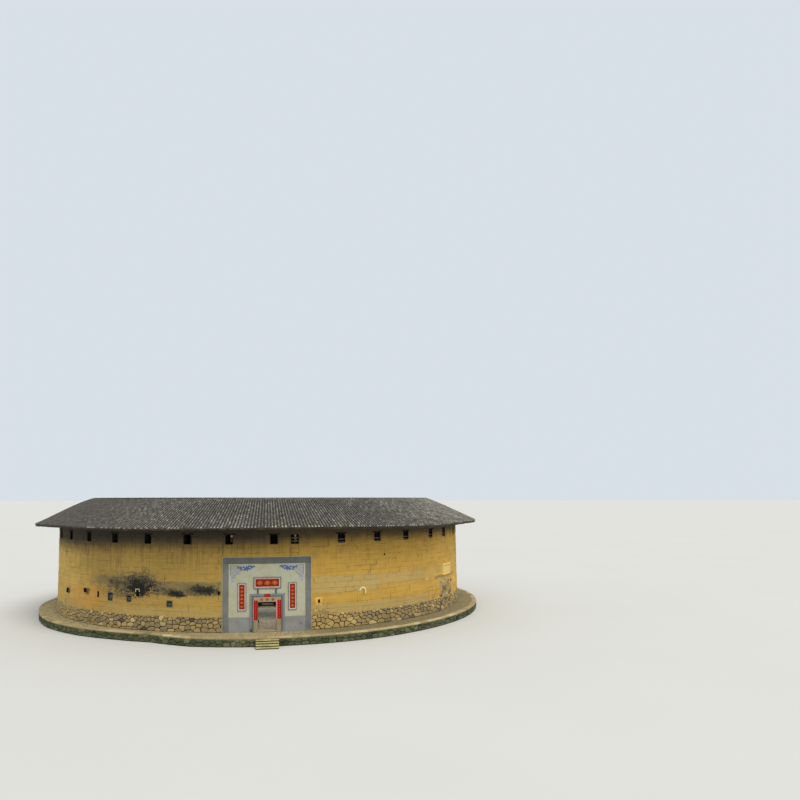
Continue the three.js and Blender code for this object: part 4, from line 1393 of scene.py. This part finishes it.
def plaques():
    middle_h = sum(MAIN_PLAQUE[2:]) / 2
    plaque("main_plaque", MAIN_PLAQUE, 0.0, "plaque_over_door", 0.10, 0.045,
           [(s, middle_h) for s in (-0.62, 0.0, 0.62)], 0.20)
    _, _, low, high = SIDE_PLAQUE
    rosettes = [(0.0, h) for h in np.linspace(low + 0.37, high - 0.37, 6)]
    for side, node in ((-1, "plaque_left"), (1, "plaque_right")):
        plaque(node + "_board", SIDE_PLAQUE, side * arc_degrees(SIDE_PLAQUE_AT), node, 0.055, 0.055,
               rosettes, 0.115)
    stubs = [(s - 0.065, s + 0.065, 3.20, 3.64) for s in (-0.78, 0.72)]
    Relief().plates(stubs, 0.044, 0.10, 0.012).lay("plaque_stubs", STUB, "grey_plaster")


# Painted corners of the gate's field. How far they reach down, by the distance from the corner
CORNER = (3.14, 5.65)
CORNER_DROP = [(0.0, 1.66), (0.15, 1.62), (0.39, 1.42), (0.59, 1.15), (0.83, 0.80), (1.22, 0.60),
               (1.55, 0.42), (2.05, 0.06)]
# Blossoms (out, down, size), leaves (out, down, turn) and buds (out, down) from the corner
BLOSSOMS = [(1.45, 0.30, 0.27), (1.84, 0.19, 0.19), (0.92, 0.26, 0.18), (1.18, 0.18, 0.12)]
LEAVES = [(1.66, 0.34, 40), (1.22, 0.40, -30), (2.02, 0.14, 10), (0.70, 0.20, 70), (1.04, 0.44, 15),
          (1.64, 0.10, -10)]
BUDS = [(0.62, 0.98), (0.70, 0.90), (1.12, 0.50), (1.05, 0.60)]


def corner_drop(out):
    return float(np.interp(out, *zip(*CORNER_DROP)))


def spandrels():
    """Painted corners: lines, a grey fret on a wash under a hollow curve, blossoms."""
    lines, wash, fret, blue, navy, yellow = (Relief() for _ in range(6))
    corner_s, corner_h = CORNER
    face = FIELD_FACE

    for side in (-1, 1):
        def at(outline):
            placed = [(side * s, h) for s, h in outline]
            return placed if side > 0 else placed[::-1]

        def mark(relief, out, down, across, up):
            s, h = corner_s - out, corner_h - down
            relief.plate(at(rectangle(s - across, s, h - up, h)), face, face + 0.006)

        def spot(out, down):
            return side * (corner_s - out), corner_h - down

        strips = np.linspace(0, 2.04, 18)
        for near, far in zip(strips, strips[1:]):
            s, t = corner_s - near, corner_s - far
            feet = [(t, corner_h - corner_drop(far)), (s, corner_h - corner_drop(near))]
            wash.plate(at(feet + [(s, corner_h), (t, corner_h)]), face, face + 0.002)
        mark(lines, 0.08, 0.04, 0.55, 0.03)
        mark(lines, 0.08, 0.075, 0.05, 0.78)
        pitch, bar = 0.17, 0.045
        for i in range(12):
            for j in range(10):
                out, down = 0.19 + i * pitch, 0.14 + j * pitch
                if down + pitch > corner_drop(out) or down + 0.6 * pitch > corner_drop(out + pitch):
                    continue
                if (i + j) % 2:
                    mark(fret, out, down, pitch, bar)
                    mark(fret, out, down + bar + 0.002, bar, pitch * 0.55)
                else:
                    mark(fret, out, down, bar, pitch * 0.92)
        for out, down, size in BLOSSOMS:
            middle = spot(out, down)
            blue.rosette(middle, size, face, face + 0.011, petals=6, turn=18 * side)
            navy.plate(oval(middle, size * 0.5, size * 0.46), face, face + 0.008)
        for out, down, turn in LEAVES:
            navy.plate(oval(spot(out, down), 0.13, 0.05, turn * side), face, face + 0.009)
        for out, down in BUDS:
            yellow.plate(oval(spot(out, down), 0.06, 0.055), face, face + 0.009)
    for relief, name, material in (
        (lines, "lines", CORNER_LINE), (wash, "wash", CORNER_WASH), (fret, "fret", FRET),
        (blue, "blossoms", BLUE), (navy, "leaves", NAVY), (yellow, "buds", YELLOW),
    ):
        relief.lay(f"corner_{name}", material, "white_plaster")


def gate_steps():
    """Worn slabs: the flight's treads as the CAD has them, with eased edges."""
    rng = np.random.default_rng(71)
    back = PLINTH_OUTER_R + 0.001
    for k in range(STEP_COUNT):
        front = PLINTH_OUTER_R + (STEP_COUNT - k) * STEP_GOING
        low = -PLINTH_H + k * STEP_RISE
        shapes = Shapes()
        cuts = [-STEP_HALF, rng.uniform(-0.5, -0.3), rng.uniform(0.1, 0.45), STEP_HALF]
        for a, b in zip(cuts, cuts[1:]):
            tone = float(rng.uniform(0.7, 1.0))
            top = low + STEP_RISE - rng.uniform(0, 0.006)
            shapes.square_block(a + 0.004, b - 0.004, front, back, low + 0.085, top, 0.015, tone)
        # The recessed riser takes a low tone: painted shade under the tread, with moss.
        shapes.square_block(-STEP_HALF + 0.02, STEP_HALF - 0.02, front - 0.05, back, low + 0.004,
                            low + 0.084, 0.003, 0.08)
        shapes.piece(f"step_slabs_{k + 1}", STEP, "step_stone", f"gate_step_{k + 1}")


# Windows and marks on the wall, by their angles
BLIND_WINDOW, LIME_HOOK = 57.6, 22.9


def windows():
    """A lintel and boards round every hole, coloured as painted shade, with weathered frames on the right and
    behind.
    """
    rng = np.random.default_rng(81)
    half, low, high = WINDOW_WIDTH / 2, WINDOW_SILL_H, WINDOW_SILL_H + WINDOW_HEIGHT
    boards = pair(-half - 0.045, -half, low, high) + [(-half, half, low - 0.035, low)]
    for k, angle in enumerate(WINDOWS):
        # The boards and lintel are coloured as painted shade over their dark wood.
        dark = Relief().plates(boards, -0.12, 0.012, 0.006)
        if angle != BRICK_WINDOW:
            left, right = rng.uniform(0.16, 0.26, 2)
            lintel = (-half - left, half + right, high - 0.01, high + 0.11)
            dark.plates([lintel], -0.35, 0.025, 0.01)
        if angle > BRICK_WINDOW:
            dark.plates([(-0.03, 0.03, low + 0.30, high - 0.01)], -0.14, -0.08, 0.006)
        dark.lay(f"window_{k + 1}_boards", HOLE_SHADE, "timber", angle=angle)
        if angle >= BRICK_WINDOW:
            rails, front = ((0.0, 0.07), (0.24, 0.30)), -0.05
            if angle == BRICK_WINDOW:
                rails, front = ((0.16, 0.23), (0.44, 0.51)), -0.06
            grey = Relief().plates([(-half, half, low + a, low + b) for a, b in rails], -0.14, front, 0.008)
            grey.lay(f"window_{k + 1}_rails", WINDOW_TIMBER, "timber", angle=angle)


def wall_marks():
    """Rims of the pockets, a walled-up window, a lime hook and the joint of a brick repair."""
    rims, plugs = Relief(), Relief()
    rim = 0.075
    for angle, middle, width, height in POCKETS:
        if angle in PLUGGED_POCKETS:
            s = math.radians(angle) * WALL_R
            box = (s - width / 2, s + width / 2, middle - height / 2, middle + height / 2)
            left, right, low, high = box
            rims.picture_frame(shrunk(box, -rim), rim, -0.02, 0.024)
            plugs.plates([(left + 0.02, right - 0.10, low + 0.02, high - 0.12)], -0.25, -0.06)
    s = math.radians(PALE_RIMMED_POCKET) * WALL_R
    bright = Relief().plates([
        (s - 0.22, s + 0.22, 3.42, 3.50), (s - 0.22, s - 0.16, 3.20, 3.42), (s + 0.16, s + 0.22, 3.24, 3.42),
    ], -0.02, 0.026)
    blind = Relief().picture_frame((-1.22, 1.22, 3.44, 4.60), 0.22, -0.02, 0.035, 0.01)
    panel = Relief().plates([(-0.90, 0.92, 3.69, 4.30)], -0.02, 0.026)
    hook = Relief()
    hook.stroke([(-0.32, 3.08), (-0.25, 3.22), (-0.11, 3.33), (0.06, 3.34), (0.20, 3.24), (0.26, 3.06),
                 (0.27, 2.82)], 0.09, -0.02, 0.022)
    joint = Relief()
    for side in (-1, 1):
        joint.stroke([(side * 0.34, 7.34), (side * 0.30, 7.05), (side * 0.37, 6.8), (side * 0.31, 6.5),
                      (side * 0.35, 6.29)], 0.03, -0.02, 0.02)
    for h in (6.62, 6.95):
        joint.stroke([(-0.28, h), (0.02, h + 0.02), (0.29, h - 0.01)], 0.022, -0.02, 0.019)
    for relief, name, angle, finish, dark, light in (
        (rims, "pocket_rims", 0.0, "rim_grey", rgb(62, 64, 58), rgb(88, 86, 74)),
        (plugs, "pocket_plugs", 0.0, "plug_grey", rgb(58, 60, 56), rgb(94, 93, 84)),
        (bright, "pocket_rim_pale", 0.0, "rim_pale", rgb(176, 152, 112), rgb(212, 188, 148)),
        (blind, "blind_window_frame", BLIND_WINDOW, "blind_frame", rgb(232, 180, 86), rgb(250, 206, 116)),
        (panel, "blind_window_panel", BLIND_WINDOW, "blind_panel", rgb(204, 182, 118), rgb(226, 204, 140)),
        (hook, "lime_hook", LIME_HOOK, "lime_mark", rgb(206, 208, 160), rgb(232, 234, 194)),
        (joint, "repair_joint", BRICK_WINDOW, "repair_brown", rgb(96, 70, 40), rgb(132, 98, 58)),
    ):
        relief.lay(name, mortar(finish, dark, light), "rammed_earth", angle=angle)


# Courtyard. Balusters between two posts, the height of a rail's underside, and a room door's size
BALUSTERS, RAIL_H = 15, 0.87
ROOM_DOOR_HALF, ROOM_DOOR_H = 0.45, 2.0
HALL_FRONT_HALF, HALL_FRONT_H = 1.2, 2.75


def courtyard():
    """Balusters under the rails, post bases and door frames of the room fronts."""
    balusters, bases, frames = Shapes(), Shapes(), Shapes()
    bay = 360 / POSTS
    for post in range(POSTS):
        a, b = (on_ring((post + end) * bay, POST_R, 0.0) for end in (0.5, 1.5))
        for floor in FLOORS[1:]:
            for k in range(1, BALUSTERS + 1):
                x, y, _ = a + (b - a) * k / (BALUSTERS + 1)
                radius, angle = math.hypot(x, y), math.degrees(math.atan2(x, -y))
                half = arc_degrees(0.02, radius)
                balusters.block((angle - half, angle + half), (radius - 0.02, radius + 0.02),
                                (floor - 0.01, floor + RAIL_H))
        rings = []
        for size, h in ((0.21, 0.0), (0.235, 0.05), (0.235, 0.13), (0.19, 0.18)):
            rings.append([(a[0] + x, a[1] + y, h) for x, y in oval((0, 0), size, size, count=14)])
        bases.layers(rings)
    balusters.piece("gallery_balusters", FRAME_TIMBER, "timber")
    bases.piece("post_bases", GATE_STONE, "rubble")

    front, wide = (ROOM_FRONT_R - 0.03, ROOM_FRONT_R + 0.13), arc_degrees(0.09, ROOM_FRONT_R)
    openings = [
        (angle, ROOM_DOOR_HALF, floor, floor + ROOM_DOOR_H, 1)
        for angle in range(10, 360, 20) for floor in FLOORS
    ]
    openings.append((0.0, HALL_FRONT_HALF, 0.0, HALL_FRONT_H, 4))
    for angle, half_width, low, high, steps in openings:
        half, top = arc_degrees(half_width, ROOM_FRONT_R), high + 0.1
        frames.block((angle - half - wide, angle - half), front, (low, top))
        frames.block((angle + half, angle + half + wide), front, (low, top))
        for k in range(steps):
            ends = [angle - half + 2 * half * (k + end) / steps for end in (0, 1)]
            frames.block(ends, front, (high, top))
    frames.piece("room_door_frames", FRAME_TIMBER, "timber")


def finish_nodes():
    """Materials of the CAD nodes that stay in view."""
    kept = {
        "plinth": PAVING, "courtyard_floor": PAVING, "stone_footing": FOOTING_BED,
        "floor": FRAME_TIMBER, "room_front": BOARDS, "gallery": FRAME_TIMBER,
    }
    for name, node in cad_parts.items():
        for start, material in kept.items():
            if name.startswith(start):
                node.data.materials.clear()
                node.data.materials.append(material)


def stage():
    """Plain pale floor, soft daylight and the photograph's camera."""
    floor_mesh = bpy.data.meshes.new("floor")
    corners = [(x, y, -0.001) for x, y in rectangle(-900.0, 900.0, -900.0, 900.0)]
    floor_mesh.from_pydata(corners, [], [(0, 1, 2, 3)])
    floor = add_object("floor", floor_mesh)
    finish = Finish("floor_pale", roughness=0.95)
    pale = finish.mix(finish.noise(0.05, 3.0), rgb(200, 198, 192), rgb(206, 204, 198))
    floor_mesh.materials.append(finish.color(pale).material)

    world = bpy.data.worlds.new("daylight")
    world.use_nodes = True
    background = world.node_tree.nodes["Background"]
    background.inputs["Color"].default_value = (0.86, 0.93, 1.0, 1.0)
    background.inputs["Strength"].default_value = 0.80
    scene = bpy.context.scene
    scene.world = world

    sun_data = bpy.data.lights.new("soft_sun", "SUN")
    sun_data.energy = 2.2
    sun_data.color = (1.0, 0.96, 0.88)
    sun_data.angle = math.radians(35)
    sun = add_object("soft_sun", sun_data)
    sun.rotation_euler = (math.radians(34), 0.0, math.radians(24))

    # Stands for the sky over the courtyard, which lights the hall behind the gate
    hall_data = bpy.data.lights.new("hall_glow", "AREA")
    hall_data.shape = "RECTANGLE"
    hall_data.size, hall_data.size_y = 1.1, 2.5
    hall_data.energy = 12.0
    hall_data.spread = math.radians(110)
    hall_data.color = (1.0, 0.95, 0.86)
    hall = add_object("hall_glow", hall_data)
    hall.location = to_model((0.0, -17.6, 2.85))
    hall.visible_camera = False

    lens = bpy.data.cameras.new("camera")
    lens.lens = 32.18
    lens.sensor_width = 36.0
    lens.shift_y = 0.12
    lens.clip_end = 3000.0
    camera = add_object("camera", lens)
    camera.location = (0.0, -41.03, 6.085)
    camera.rotation_euler = (math.radians(90), 0.0, math.radians(-10.51))
    scene.camera = camera
    scene.view_settings.view_transform = "Standard"


stage()
earth_wall()
footing_stones()
plinth_stones()
roof()
ridge()
rafters()
gate_panel()
door_surround()
doorway()
transom()
plaques()
spandrels()
gate_steps()
windows()
wall_marks()
courtyard()
finish_nodes()
